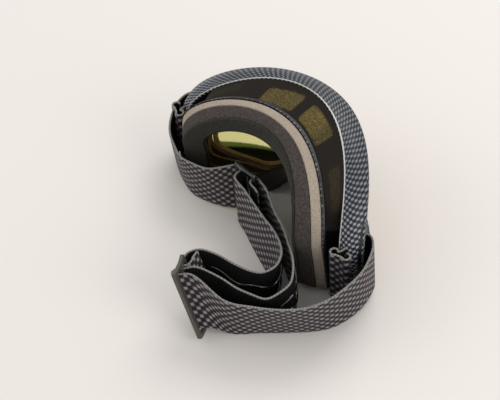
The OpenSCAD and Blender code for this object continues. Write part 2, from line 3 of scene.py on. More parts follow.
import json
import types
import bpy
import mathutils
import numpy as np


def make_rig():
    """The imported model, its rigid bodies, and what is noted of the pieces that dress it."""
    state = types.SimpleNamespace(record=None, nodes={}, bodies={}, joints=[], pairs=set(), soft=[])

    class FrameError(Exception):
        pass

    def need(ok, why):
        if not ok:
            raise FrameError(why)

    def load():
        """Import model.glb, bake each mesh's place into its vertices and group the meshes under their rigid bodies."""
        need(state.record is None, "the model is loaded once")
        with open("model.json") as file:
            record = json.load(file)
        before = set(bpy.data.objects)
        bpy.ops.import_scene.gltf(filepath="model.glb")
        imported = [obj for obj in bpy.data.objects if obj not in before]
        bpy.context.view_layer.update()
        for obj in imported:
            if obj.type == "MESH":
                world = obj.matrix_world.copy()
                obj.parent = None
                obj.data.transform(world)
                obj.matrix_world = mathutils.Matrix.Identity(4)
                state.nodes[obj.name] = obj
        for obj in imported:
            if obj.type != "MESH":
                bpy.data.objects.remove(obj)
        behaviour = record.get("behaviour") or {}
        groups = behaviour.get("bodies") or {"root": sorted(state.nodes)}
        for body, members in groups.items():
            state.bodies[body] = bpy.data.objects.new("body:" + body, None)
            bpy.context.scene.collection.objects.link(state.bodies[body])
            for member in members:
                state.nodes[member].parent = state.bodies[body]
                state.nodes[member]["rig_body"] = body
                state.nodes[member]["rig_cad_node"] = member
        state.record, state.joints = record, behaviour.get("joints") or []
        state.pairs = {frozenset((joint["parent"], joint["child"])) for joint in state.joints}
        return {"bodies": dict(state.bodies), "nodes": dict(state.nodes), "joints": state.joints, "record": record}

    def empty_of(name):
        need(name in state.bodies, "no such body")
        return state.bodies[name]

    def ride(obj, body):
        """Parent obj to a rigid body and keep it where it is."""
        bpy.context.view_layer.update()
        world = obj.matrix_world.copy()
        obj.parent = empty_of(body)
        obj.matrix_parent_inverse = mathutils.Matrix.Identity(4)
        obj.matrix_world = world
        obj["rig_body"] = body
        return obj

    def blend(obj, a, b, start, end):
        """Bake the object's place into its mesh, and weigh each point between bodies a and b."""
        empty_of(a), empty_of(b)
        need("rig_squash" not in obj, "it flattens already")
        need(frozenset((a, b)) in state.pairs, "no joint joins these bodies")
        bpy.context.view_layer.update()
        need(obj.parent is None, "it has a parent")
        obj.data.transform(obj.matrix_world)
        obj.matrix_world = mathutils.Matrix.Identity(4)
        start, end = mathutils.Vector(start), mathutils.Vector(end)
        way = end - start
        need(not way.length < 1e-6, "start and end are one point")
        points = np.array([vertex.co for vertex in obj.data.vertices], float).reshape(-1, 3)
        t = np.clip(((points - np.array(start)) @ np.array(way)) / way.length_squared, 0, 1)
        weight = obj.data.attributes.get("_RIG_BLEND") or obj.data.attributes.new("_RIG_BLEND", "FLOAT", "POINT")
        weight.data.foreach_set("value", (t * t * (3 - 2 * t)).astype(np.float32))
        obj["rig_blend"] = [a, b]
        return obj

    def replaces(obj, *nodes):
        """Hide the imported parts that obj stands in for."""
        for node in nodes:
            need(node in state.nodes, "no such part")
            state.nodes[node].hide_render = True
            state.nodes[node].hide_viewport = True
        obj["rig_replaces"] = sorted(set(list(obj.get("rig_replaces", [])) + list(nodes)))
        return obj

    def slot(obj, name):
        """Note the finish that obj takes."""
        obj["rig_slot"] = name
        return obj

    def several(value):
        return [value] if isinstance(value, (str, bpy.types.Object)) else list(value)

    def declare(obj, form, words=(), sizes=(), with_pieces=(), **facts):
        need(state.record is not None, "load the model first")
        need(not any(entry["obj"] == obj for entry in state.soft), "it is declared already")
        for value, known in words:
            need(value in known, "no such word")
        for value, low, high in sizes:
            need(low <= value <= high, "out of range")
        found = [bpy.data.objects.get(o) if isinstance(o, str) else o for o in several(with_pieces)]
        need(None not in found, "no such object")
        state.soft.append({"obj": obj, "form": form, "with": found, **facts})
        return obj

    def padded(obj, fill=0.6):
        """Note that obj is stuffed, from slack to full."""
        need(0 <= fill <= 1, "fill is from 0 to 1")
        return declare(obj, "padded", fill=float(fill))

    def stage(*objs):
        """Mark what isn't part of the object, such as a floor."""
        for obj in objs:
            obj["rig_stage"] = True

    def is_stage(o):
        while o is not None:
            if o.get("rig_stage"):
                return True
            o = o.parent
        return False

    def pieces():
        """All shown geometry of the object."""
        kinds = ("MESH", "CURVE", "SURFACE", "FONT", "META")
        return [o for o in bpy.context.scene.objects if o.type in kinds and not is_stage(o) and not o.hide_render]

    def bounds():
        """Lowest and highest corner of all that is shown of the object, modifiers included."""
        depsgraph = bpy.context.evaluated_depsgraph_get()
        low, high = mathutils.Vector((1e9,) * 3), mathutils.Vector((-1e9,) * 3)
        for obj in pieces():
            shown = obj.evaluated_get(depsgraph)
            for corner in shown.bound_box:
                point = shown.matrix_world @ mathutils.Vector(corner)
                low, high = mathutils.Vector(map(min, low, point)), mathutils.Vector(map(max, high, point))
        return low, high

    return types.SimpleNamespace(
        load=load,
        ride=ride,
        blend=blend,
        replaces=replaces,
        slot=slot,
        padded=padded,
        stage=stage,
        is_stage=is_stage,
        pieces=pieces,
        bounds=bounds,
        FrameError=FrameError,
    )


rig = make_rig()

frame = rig.load()

import json
import math

import bmesh
import bpy
from bpy.props import FloatProperty, FloatVectorProperty, PointerProperty
from bpy.types import Operator, Panel, PropertyGroup
from mathutils import Matrix, Vector

bl_info = {
    "name": "Motocross goggles",
    "version": (1, 0, 0),
    "blender": (4, 5, 0),
    "location": "View3D > Sidebar > Goggles",
    "description": "Builds goggles with a printed band, layered face foam and two folded straps",
    "category": "Object",
}

CAD_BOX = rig.bounds()
MM = 0.001


def linear(code):
    """An sRGB hex colour as linear red, green and blue."""
    values = [int(code[i:i + 2], 16) / 255 for i in (1, 3, 5)]
    return tuple(v / 12.92 if v <= 0.04045 else ((v + 0.055) / 1.055) ** 2.4 for v in values)


def length(title, text, default_mm):
    return FloatProperty(name=title, description=text, default=default_mm * MM, unit="LENGTH", precision=5)


def colour(title, text, code):
    return FloatVectorProperty(
        name=title, description=text, default=linear(code), subtype="COLOR", size=3, min=0, max=1)


class GoggleSizes(PropertyGroup):
    """Sizes of what the scene adds to the CAD model."""
    band_print: length("Band print, along", "Repeat of the woven print along the frame's band", 3.4)
    band_across: length("Band print, across", "Repeat of the woven print across the frame's band", 2.3)
    band_skin: length("Band film", "How far the printed film stands off the moulding", 0.15)
    edge_line: length("Edge line", "Width of the pale line along the band's rear edge", 0.85)
    web_along: length("Webbing print, along", "Repeat of the webbing's print along the strap", 6.6)
    web_across: length("Webbing print, across", "Repeat of the webbing's print across the strap", 6.8)
    web_rib: length("Webbing rib", "Spacing of the webbing's ribs", 1.5)
    web_thick: length("Webbing thickness", "Thickness of the elastic", 1.4)
    grip_wide: length("Silicone width", "Width of a silicone grip line", 1.6)
    grip_high: length("Silicone height", "Height of a silicone grip line", 0.5)
    foam_round: length("Foam rounding", "Rounding of the foam's cut edges", 0.9)
    foam_cell: length("Foam cell", "Size of a cell of the face foam, as coarse as shows", 1.2)
    mesh_cell: length("Vent foam cell", "Size of a cell of the vent foam, as coarse as shows", 1.0)
    slider_round: length("Slider rounding", "Rounding of a slider's moulded edges", 0.35)


class GoggleColours(PropertyGroup):
    """Colours that a user would change."""
    moulding: colour("Moulding", "Black of the moulded frame", "#0f0e0d")
    print_dark: colour("Print, dark", "Dark squares of the band's print", "#17161a")
    print_mid: colour("Print, middle", "Ground of the band's print", "#36363b")
    print_light: colour("Print, light", "Light squares of the band's print", "#8f939b")
    edge_line: colour("Edge line", "Pale line on the band's rear edge", "#bdbdb6")
    foam_tan: colour("Foam, base", "Tan layer of the face foam", "#a09384")
    foam_grey: colour("Foam, middle", "Grey layer of the face foam", "#443e3a")
    foam_face: colour("Foam, face", "Fleece that lies on the face", "#292821")
    vent_black: colour("Vent foam", "Black of the thin vent foam", "#1a150f")
    # Painted light: the gold stands in for light coming through the foam from a window
    vent_painted_glow: colour("Vent foam, painted glow", "Painted light on the vent foam where a window lies behind it", "#4c4122")
    web_dark: colour("Webbing, dark", "Dark squares of the webbing's print", "#161113")
    web_mid: colour("Webbing, middle", "Ground of the webbing's print", "#2f2729")
    web_light: colour("Webbing, light", "Light squares of the webbing's print", "#9d9599")
    web_back: colour("Webbing, inside", "Black of the webbing's inner face", "#0d0c0b")
    web_edge: colour("Webbing edge", "Pale edge of the webbing", "#7d7b74")
    # Painted light: the inner wall's dark brown stands in for yellow light from the lens on the black moulding
    wall_painted_light: colour("Inner wall", "Dark brown lining of the frame's inner wall", "#6a563c")
    # The lens's pale yellow is painted light from outside; its green band and dark foot are painted shade
    lens_pale_painted_glow: colour("Lens, painted glow", "Painted light: pale yellow glow of the lens", "#e6de9a")
    lens_green_painted_shade: colour("Lens, painted green shade", "Painted shade: green band of the lens", "#545f29")
    lens_dark_painted_shade: colour("Lens, painted dark shade", "Painted shade: dark foot of the lens", "#0c0c06")
    lens_gold: colour("Lens, mirror", "Gold mirror of the lens's outer face", "#c9a24a")
    # Painted light: the gasket's ochre stands in for yellow light through the lens
    gasket: colour("Gasket", "Painted light: ochre on the foam gasket behind the lens", "#bfa164")
    slider_black: colour("Slider, black", "Glossy black slider", "#141518")
    slider_grey: colour("Slider, grey", "Satin grey slider", "#423f39")
    floor: colour("Floor", "Pale floor", "#e0dad4")


# Sizes in millimetres: those of the CAD model, with the nose, the lens and its posts fitted more
# closely to the photograph

FLANGE_HALF_W, FLANGE_TOP, WRAP_R = 72.4, 85.8, 77.4
FRAME_DEPTH, BAND_DEPTH, RIM_FLARE = 24, 15, 18.6
FLANGE_T, WALL_T = 2.2, 2.2
NOSE_RISE, NOSE_HALF_W, NOSE_PUSH, NOSE_REACH = 23, 20, 12, 60
# The nose arch in degrees round a rim, and how far the cheeks swing forward and splay for each
# millimetre down
NOSE_FROM, NOSE_TO = 246, 294
CHEEK, SPLAY = 0.09, 0.08
LENS_HALF_W, LENS_TOP, LENS_BOTTOM, LENS_LEAN, LENS_T, LENS_BITE = 65, 79, 9.4, 0.16, 1.2, 2.2
LENS_GAP, POST_R, POST_L = 0.4, 2, 3
POST_X, POST_HEIGHTS = LENS_HALF_W - 9, (34, 56)
# Where the side wall meets the flange and the piped edge, and how much further in at a temple and
# along the foot
WALL_REAR, WALL_FRONT, TEMPLE_INSET, FOOT_INSET = 2.2, 1.8, 5, 1.2
FOAM_W, FLEECE_T, VENT_T, SOFT_GAP = 11.5, 2.2, 1.4, 0.3
STRAP_W, STRAP_T, STRAP_LIFT, STRAP_GAP = 45, 2, 5.4, 0.4
GRIP_SWING, GRIP_WAVE = 2.2, 24
BAR_PITCH, BAR_W, SLIDER_T, SLIDER_END, SLIDER_BOW = 8.8, 2.6, 2.4, 3, 1
MIDDLE = Vector((4.2327, -40.695, 0))

# Each rim is half width, top, middle height, bottom, y at the brow, wrap radius, roundness
# above, roundness below, share of the foot's swing, extra half width of the nose arch, how far
# the nose is carried forward, and how far the foot leans back for each millimetre down
BROW_Y = -2.4
FLANGE = (FLANGE_HALF_W, FLANGE_TOP, 50, 0.3, BROW_Y, WRAP_R, 2, 11, 1, 0, NOSE_PUSH / 3, 0)
PIPED = (FLANGE_HALF_W + 5.6, FLANGE_TOP + 4.2, 46, 0, BROW_Y + FRAME_DEPTH, WRAP_R - 15.4, 2.02, 8,
         1, 0, 0, 0)
FRONT = (FLANGE_HALF_W + RIM_FLARE, FLANGE_TOP - 2, 32, 0, BROW_Y + FRAME_DEPTH + BAND_DEPTH,
         WRAP_R - 4.2, 2.7, 8, 1, 0, 0, 0)
CROWNING = (1.5, 0.9, 0, 0, 0.4, -1.3, 0, 0, 0, 0, 0, 0)
CROWN = tuple((a + b) / 2 + c for a, b, c in zip(PIPED, FRONT, CROWNING))
LENS = (LENS_HALF_W, LENS_TOP, 35, LENS_BOTTOM, BROW_Y + FRAME_DEPTH + 0.4, WRAP_R - 10.4, 2.5, 3.6,
        0, 13, 0, LENS_LEAN)
TAN = (FLANGE_HALF_W - 5.6, FLANGE_TOP - 0.4, 45.5, 0.4, -9.2, WRAP_R - 6.4, 2.2, 11, 1, 0,
       NOSE_PUSH * 2 / 3, 0)
FACE = (FLANGE_HALF_W - 14.6, FLANGE_TOP - 3.4, 49, 1, -16.3, WRAP_R - 22, 2.02, 10, 1, 0, NOSE_PUSH, 0)


def ease(v):
    v = min(1, max(0, v))
    return v * v * (3 - 2 * v)


def mix(a, b, f):
    return a * (1 - f) + b * f


def hump(x, reach):
    return math.cos(math.pi / 2 * x / reach) ** 2 if abs(x) < reach else 0


def rim_pt(rim, t, inset=0, dy=0):
    """A point of a rim at angle t, drawn in by inset and moved forward by dy."""
    half_w, top, mid, bottom, brow_y, wrap, above, below, swing, nose_wide, nose_push, lean = rim
    c, s = math.cos(math.radians(t)), math.sin(math.radians(t))
    n = above if s >= 0 else below
    k = (abs(c) ** n + abs(s) ** n) ** (-1 / n)
    drop = 0 if s >= 0 else (mid - bottom - inset) * -s * k
    x = (half_w - inset + swing * SPLAY * drop * min(1, drop / 40)) * c * k
    if s >= 0:
        rise, push = (top - mid - inset) * s * k, 0
    else:
        rise = NOSE_RISE * hump(x, NOSE_HALF_W + nose_wide + max(0, inset)) * -s * k
        push = nose_push * hump(x, NOSE_REACH) * -s * k
    z = mid - drop + rise
    y = brow_y + dy - x * x / (2 * wrap) + swing * CHEEK * drop + push - lean * (top - z)
    return Vector((x, y, z))


def is_low(t):
    return math.sin(math.radians(t)) < -1e-9


def from_side(t):
    """The angle above or below the temple."""
    a = (t + 360) % 180
    return a if a < 90 else 180 - a


def past_temple(t):
    """0 at a temple, and 1 from 38 degrees above or below it."""
    return ease((from_side(t) - 14) / 24)


def wall_inset(t):
    """How far the wall is drawn in at the temples and along the foot."""
    return mix(TEMPLE_INSET, FOOT_INSET if is_low(t) else 0, past_temple(t))


def round_angles(wide, close):
    """Steps round a rim, which lie closer together over the nose."""
    over = NOSE_TO - NOSE_FROM
    return ([NOSE_TO - 360 + i * (360 - over) / wide for i in range(wide)]
            + [NOSE_FROM + i * over / close for i in range(close)])


# Meshes

def moved(bm):
    """Moves a bmesh from the goggles' own millimetres to the CAD frame."""
    bmesh.ops.translate(bm, vec=-MIDDLE, verts=bm.verts)
    bmesh.ops.scale(bm, vec=(MM, MM, MM), verts=bm.verts)
    return bm


def to_object(name, bm, materials, body="goggles"):
    return link(name, moved(bm), materials, body)


def link(name, bm, materials, body="goggles"):
    mesh = bpy.data.meshes.new(name)
    bm.to_mesh(mesh)
    bm.free()
    for m in materials:
        mesh.materials.append(m)
    piece = bpy.data.objects.new(name, mesh)
    bpy.context.scene.collection.objects.link(piece)
    if body:
        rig.ride(piece, body)
    return piece


def smooth(bm, angle=35):
    """Smooth faces that stay sharp where they meet at more than an angle."""
    for face in bm.faces:
        face.smooth = True
    for edge in bm.edges:
        edge.smooth = edge.is_boundary or edge.calc_face_angle(0) < math.radians(angle)


def sheet(rows, close_run=False, close_row=False, across=None, attributes=None):
    """A grid bent onto rows of points. Its UV map is in metres, along the run and across it."""
    nx, ny = len(rows) - 1 + close_run, len(rows[0]) - 1 + close_row
    bm = bmesh.new()
    uv = bm.loops.layers.uv.new("UVMap")
    layers = {k: bm.verts.layers.float.new(k) for k in (attributes or {})}
    bmesh.ops.create_grid(bm, x_segments=nx, y_segments=ny, size=0.5)
    where = {v: (round((v.co.x + 0.5) * nx), round((v.co.y + 0.5) * ny)) for v in bm.verts}
    run = [0.0]
    for i in range(nx):
        a, b = rows[i], rows[(i + 1) % len(rows)]
        m = len(a) // 2
        run.append(run[-1] + ((b[0] - a[0]).length + (b[m] - a[m]).length) / 2)
    wide = across
    if wide is None:
        wide, row = [0.0], rows[len(rows) // 2]
        for j in range(ny):
            wide.append(wide[-1] + (row[(j + 1) % len(row)] - row[j]).length)
    for face in bm.faces:
        for loop in face.loops:
            i, j = where[loop.vert]
            loop[uv].uv = (run[i] * MM, wide[j] * MM)
    for v, (i, j) in where.items():
        v.co = rows[i % len(rows)][j % len(rows[0])]
        for k, layer in layers.items():
            v[layer] = attributes[k](i, j)
    rank = {face: min(where[v][1] for v in face.verts) for face in bm.faces}
    return bm, where, rank


def weld(bm, ends=False):
    """Closes the seams of a bent grid, fills its two ends and turns its faces outwards."""
    bmesh.ops.remove_doubles(bm, verts=bm.verts, dist=1e-5)
    if ends:
        edges = [e for e in bm.edges if e.is_boundary]
        bmesh.ops.holes_fill(bm, edges=edges, sides=0)
    bmesh.ops.recalc_face_normals(bm, faces=bm.faces)


def add_to(whole, bm):
    """Adds one bmesh to another, and frees it."""
    mesh = bpy.data.meshes.new("part")
    bm.to_mesh(mesh)
    bm.free()
    whole.from_mesh(mesh)
    bpy.data.meshes.remove(mesh)


def in_order(elements, key):
    """Puts a bmesh's elements in an order that is the same in each run."""
    rank = {e: i for i, e in enumerate(sorted(elements, key=key))}
    elements.sort(key=rank.get)


def cad_copy(node):
    """A merged copy of a CAD node's mesh, whose triangles are loose."""
    bm = bmesh.new()
    bm.from_mesh(frame["nodes"][node].data)
    bmesh.ops.remove_doubles(bm, verts=bm.verts, dist=2e-6)
    return bm


# Materials. These three colours are fixed, the rest are in GoggleColours

# The cut foam's near-black, on the foam layers' inner walls, is painted shade
SILICONE_BLACK, POST_WHITE, PAINTED_SHADE_FOAM = "#0c0c0d", "#cfcdc6", "#241d14"


class Look:
    """A material and its node tree, with short calls for the nodes that it needs."""

    def __init__(self, name):
        self.mat = bpy.data.materials.new(name)
        self.mat.use_nodes = True
        self.tree = self.mat.node_tree

    def feed(self, socket, v):
        """Gives a socket a value, or links it to the socket that feeds it."""
        if isinstance(v, bpy.types.NodeSocket):
            self.tree.links.new(v, socket)
        elif socket.type == "RGBA" and len(v) == 3:
            socket.default_value = (*v, 1)
        else:
            socket.default_value = v

    def coat(self, **values):
        """Feeds the shader's inputs, whose names are written with underscores."""
        for k, v in values.items():
            self.feed(self.tree.nodes["Principled BSDF"].inputs[k.replace("_", " ")], v)
        return self.mat

    def add(self, kind, inputs=None, **settings):
        """Adds a node with its settings; an input is a value or the socket that feeds it."""
        n = self.tree.nodes.new("ShaderNode" + kind)
        for k, v in settings.items():
            setattr(n, k, v)
        for k, v in (inputs or {}).items():
            self.feed(n.inputs[k], v)
        return n

    def uv_map(self):
        """The UV map's two coordinates, in metres along a run and across it."""
        return self.add("SeparateXYZ", {"Vector": self.add("UVMap", uv_map="UVMap").outputs[0]}).outputs

    def object_coords(self):
        return self.add("TexCoord").outputs["Object"]

    def calc(self, operation, *values):
        return self.add("Math", dict(enumerate(values)), operation=operation).outputs[0]

    def wave(self, value, period):
        """A cosine of that period in metres."""
        return self.calc("COSINE", self.calc("MULTIPLY", value, 2 * math.pi / period))

    def from_wave(self, value):
        """Carries -1 to 1 over to 0 to 1."""
        return self.calc("MULTIPLY_ADD", value, 0.5, 0.5)

    def span(self, value, low, high, to_low=0.0, to_high=1.0):
        """Carries the range from low to high over to another."""
        return self.add("MapRange", {"Value": value, "From Min": low, "From Max": high,
                                     "To Min": to_low, "To Max": to_high}).outputs[0]

    def grey(self, value):
        return self.add("CombineColor", {"Red": value, "Green": value, "Blue": value}).outputs[0]

    def mix_rgb(self, a, b, blend, factor):
        return self.add("Mix", {0: factor, 6: a, 7: b}, data_type="RGBA", blend_type=blend).outputs[2]

    def shade(self, rgb, factor, low, high):
        """A colour made lighter and darker by a value from 0 to 1."""
        return self.mix_rgb(rgb, self.grey(self.span(factor, 0, 1, low, high)), "MULTIPLY", 1.0)

    def print_ramp(self, value, stops, colours):
        """Carries a value from dark to middle, halfway to light and light."""
        dark, middle, light = colours
        halfway = tuple((a + b) / 2 for a, b in zip(middle, light))
        n = self.add("ValToRGB", {"Fac": value})
        while len(n.color_ramp.elements) < len(stops):
            n.color_ramp.elements.new(0.5)
        for e, at, rgb in zip(n.color_ramp.elements, stops, (dark, middle, halfway, light)):
            e.position = at
            e.color = (*rgb, 1)
        return n.outputs["Color"]

    def noise(self, size, detail=2.0, rough=0.5, coords=None):
        """Noise on Object coordinates whose grains are about that size in metres."""
        if coords is None:
            coords = self.object_coords()
        return self.add("TexNoise", {"Vector": coords, "Scale": 1 / size, "Detail": detail,
                                     "Roughness": rough}).outputs["Fac"]

    def bump(self, height, distance, strength=1.0):
        n = self.add("Bump", {"Height": height, "Distance": distance, "Strength": strength})
        return n.outputs["Normal"]


def moulded(name, rgb, rough, grain, depth, coat=0.0):
    """Injection-moulded plastic: even colour, a fine spark texture, soft broad highlights."""
    m = Look(name)
    cloud = m.noise(18 * MM, 2)
    return m.coat(Base_Color=m.shade(rgb, cloud, 0.85, 1.15), IOR=1.5, Coat_Weight=coat, Coat_Roughness=0.12,
                  Roughness=m.calc("MULTIPLY_ADD", cloud, 0.14, rough - 0.07),
                  Normal=m.bump(m.noise(grain, 3), depth))


def open_cell_foam(name, rgb, cell, spread, fuzz=0.03):
    """Cut open-cell polyurethane foam: matt, pitted by its cells, a little uneven in colour."""
    m = Look(name)
    coords = m.object_coords()
    cells = m.add("TexVoronoi", {"Vector": coords, "Scale": 1 / cell}).outputs["Distance"]
    grain = m.span(m.noise(cell, 2, 0.7, coords), 0.34, 0.7)
    cloud = m.noise(14 * MM, 3, 0.5, coords)
    base = m.shade(rgb, grain, 1 - spread, 1 + spread * 1.4)
    pits = m.calc("ADD", m.calc("MULTIPLY", cells, 0.6), m.calc("MULTIPLY", grain, 0.8))
    return m.coat(Base_Color=m.shade(base, cloud, 0.9, 1.1), Roughness=0.95, Specular_IOR_Level=0.08,
                  Sheen_Weight=fuzz, Sheen_Roughness=0.6, Normal=m.bump(pits, 0.45 * MM, 0.8))


def band_print(sizes, colours):
    """Water-transfer print on TPU: pale cells in slanting rows, dark gaps; painted shade at the brow, painted
    reflection low down.
    """
    m = Look("printed TPU, water transfer under lacquer")
    uv = m.uv_map()
    row = m.calc("MULTIPLY_ADD", uv[1], -0.35 / sizes.band_print,
                 m.calc("MULTIPLY", uv[0], 1 / sizes.band_print))
    cell = m.calc("MULTIPLY_ADD", uv[0], -0.47 / sizes.band_across,
                  m.calc("MULTIPLY", uv[1], 1 / sizes.band_across))
    weave = m.calc("ADD", m.wave(row, 1), m.wave(cell, 1))
    level = m.calc("ADD", m.calc("MULTIPLY_ADD", weave, 0.25, 0.5),
                   m.calc("MULTIPLY_ADD", m.noise(0.9 * MM, 2), 0.2, -0.1))
    col = m.print_ramp(level, (0.28, 0.5, 0.66, 0.84),
                       (colours.print_dark, colours.print_mid, colours.print_light))
    # Painted light: the print is darkened at the brow as shade and made lighter towards the foot as a reflection
    height = m.add("SeparateXYZ", {"Vector": m.object_coords()}).outputs[2]
    painted_light_by_height = m.span(height, 78 * MM, 30 * MM)
    return m.coat(Base_Color=m.shade(col, painted_light_by_height, 0.62, 1.7), Roughness=0.5, Specular_IOR_Level=0.3,
                  Coat_Weight=0.08, Coat_Roughness=0.25, Normal=m.bump(level, 0.06 * MM))


def flange_print(sizes, colours):
    """The same print where it wraps the flange's outer edge: black, nicked by short pale dashes."""
    m = Look("printed TPU, dashed flange edge")
    dash = m.calc("GREATER_THAN", m.wave(m.uv_map()[0], sizes.band_print), -0.1)
    blotch = m.span(m.noise(2.2 * MM, 2), 0.42, 0.62)
    share = m.calc("MULTIPLY", m.calc("MULTIPLY", dash, blotch), 0.5)
    return m.coat(Base_Color=m.mix_rgb(colours.print_dark, colours.print_light, "MIX", share),
                  Roughness=0.5, Specular_IOR_Level=0.3)


def edge_line(sizes, colours):
    """The print's bare white ground on the band's rear edge, nicked by dark squares below."""
    m = Look("printed TPU, pale edge")
    uv = m.uv_map()
    beat = m.wave(uv[0], sizes.band_print)
    low = m.calc("GREATER_THAN", uv[1], sizes.edge_line * 1.15)
    nick = m.calc("MULTIPLY", m.calc("GREATER_THAN", beat, -0.2), low)
    base = m.shade(colours.edge_line, m.from_wave(beat), 0.78, 1.0)
    return m.coat(Base_Color=m.mix_rgb(base, colours.print_dark, "MIX", nick), Roughness=0.45,
                  Coat_Weight=0.3)


def webbing_face(sizes, colours):
    """Printed elastic webbing: a blurred print of light and dark squares over ribbed yarn."""
    m = Look("elastic webbing, printed face")
    uv = m.uv_map()
    square = m.calc("MULTIPLY", m.wave(uv[0], sizes.web_along), m.wave(uv[1], sizes.web_across))
    speck = m.noise(0.8 * MM, 3)
    level = m.calc("ADD", m.from_wave(square), m.calc("MULTIPLY_ADD", speck, 0.3, -0.15))
    col = m.print_ramp(level, (0.2, 0.5, 0.72, 0.92),
                       (colours.web_dark, colours.web_mid, colours.web_light))
    ribs = m.calc("MULTIPLY", m.wave(uv[0], sizes.web_rib), m.wave(uv[1], sizes.web_rib))
    return m.coat(Base_Color=m.shade(col, m.from_wave(ribs), 0.86, 1.1), Roughness=0.72,
                  Specular_IOR_Level=0.25, Sheen_Weight=0.04,
                  Normal=m.bump(m.calc("ADD", ribs, speck), 0.12 * MM))


def webbing_back(sizes, colours):
    """The webbing's inner face: unprinted black yarn in fine cross ribs."""
    m = Look("elastic webbing, black inner face")
    ribs = m.wave(m.uv_map()[0], sizes.web_rib)
    speck = m.noise(0.7 * MM, 3)
    col = m.shade(colours.web_back, m.from_wave(ribs), 0.75, 1.2)
    return m.coat(Base_Color=m.shade(col, speck, 0.7, 1.3), Roughness=0.85, Specular_IOR_Level=0.25,
                  Normal=m.bump(m.calc("ADD", ribs, speck), 0.15 * MM))


def webbing_edge(sizes, colours):
    """The webbing's woven edge: pale yarn, nicked by its cross ribs."""
    m = Look("elastic webbing, pale edge")
    beat = m.wave(m.uv_map()[0], sizes.web_rib * 1.4)
    col = m.shade(colours.web_edge, m.from_wave(beat), 0.7, 1.15)
    return m.coat(Base_Color=m.shade(col, m.noise(0.8 * MM, 2), 0.8, 1.15), Roughness=0.7,
                  Normal=m.bump(beat, 0.1 * MM))


def vent_foam_material(sizes, colours):
    """Thin reticulated foam: black over the wall, painted gold light where a window lies behind it."""
    m = Look("reticulated vent foam, painted window light")
    coords = m.object_coords()
    # The attribute marks where painted light from a window shows; there the foam turns gold
    lit = m.add("Attribute", attribute_name="lit").outputs["Fac"]
    grain = m.noise(sizes.mesh_cell * 0.8, 4, 0.7, coords)
    cells = m.add("TexVoronoi", {"Vector": coords, "Scale": 1 / sizes.mesh_cell}).outputs["Distance"]
    dull = m.shade(colours.vent_black, grain, 0.6, 1.4)
    # Painted specks of light where the foam's cells let light through
    spark = m.grey(m.span(grain, 0.42, 0.7, 0.55, 3.2))
    gold = m.mix_rgb(colours.vent_painted_glow, spark, "MULTIPLY", 1.0)
    return m.coat(Base_Color=m.mix_rgb(dull, gold, "MIX", lit), Roughness=0.9, Specular_IOR_Level=0.25,
                  Normal=m.bump(m.calc("ADD", cells, grain), 0.3 * MM, 0.7))


def lens_inside(colours):
    """The lens from behind: a painted glow, pale yellow, over painted shade in green and a dark foot."""
    m = Look("tinted polycarbonate lens, inner face")
    x, y, z = m.add("SeparateXYZ", {"Vector": m.object_coords()}).outputs
    speck = m.calc("MULTIPLY_ADD", m.noise(0.9 * MM, 3), 1.6 * MM, -0.8 * MM)
    # Painted light and shade: a pale glow above, then bands of painted shade in green and dark
    col = colours.lens_pale_painted_glow
    for below, lean, level, soft in LENS_PAINTED_BANDS:
        height = m.calc("ADD", m.calc("MULTIPLY_ADD", x, -lean, z), speck)
        above = m.span(height, (level - soft) * MM, (level + soft) * MM)
        col = m.mix_rgb(getattr(colours, below), col, "MIX", above)
    # The emission is painted light: the inner face glows as if lit from outside
    return m.coat(Base_Color=col, Emission_Color=col, Emission_Strength=0.6, Roughness=0.12, IOR=1.58)


def lens_mirror(colours):
    """The lens's outer face: a vacuum-coated gold mirror, which hides what is behind it."""
    m = Look("gold mirror coat on polycarbonate")
    return m.coat(Base_Color=m.shade(colours.lens_gold, m.noise(40 * MM, 1), 0.85, 1.1), Metallic=1.0,
                  Roughness=0.08)


def silicone():
    """Black silicone laid on in beads: wet gloss."""
    m = Look("silicone bead, black")
    return m.coat(Base_Color=linear(SILICONE_BLACK), IOR=1.43, Coat_Weight=1.0, Coat_Roughness=0.05,
                  Roughness=m.calc("MULTIPLY_ADD", m.noise(3 * MM, 2), 0.2, 0.08),
                  Normal=m.bump(m.noise(1.6 * MM, 1), 0.15 * MM))


# Painted shade below the lens's pale painted glow: colour, and its upper edge's lean across,
# height and softness in mm
LENS_PAINTED_BANDS = (("lens_green_painted_shade", 0.086, 29.6, 0.7), ("lens_dark_painted_shade", 0.17, 30.4, 1.2))


def settings():
    scene = bpy.context.scene
    return scene.goggle_sizes, scene.goggle_colours


# Operators, one for each piece or group of like pieces

def corner(t):
    """How far an angle along the foot has turned from the temple to the cheek."""
    return past_temple(t) if is_low(t) else 0


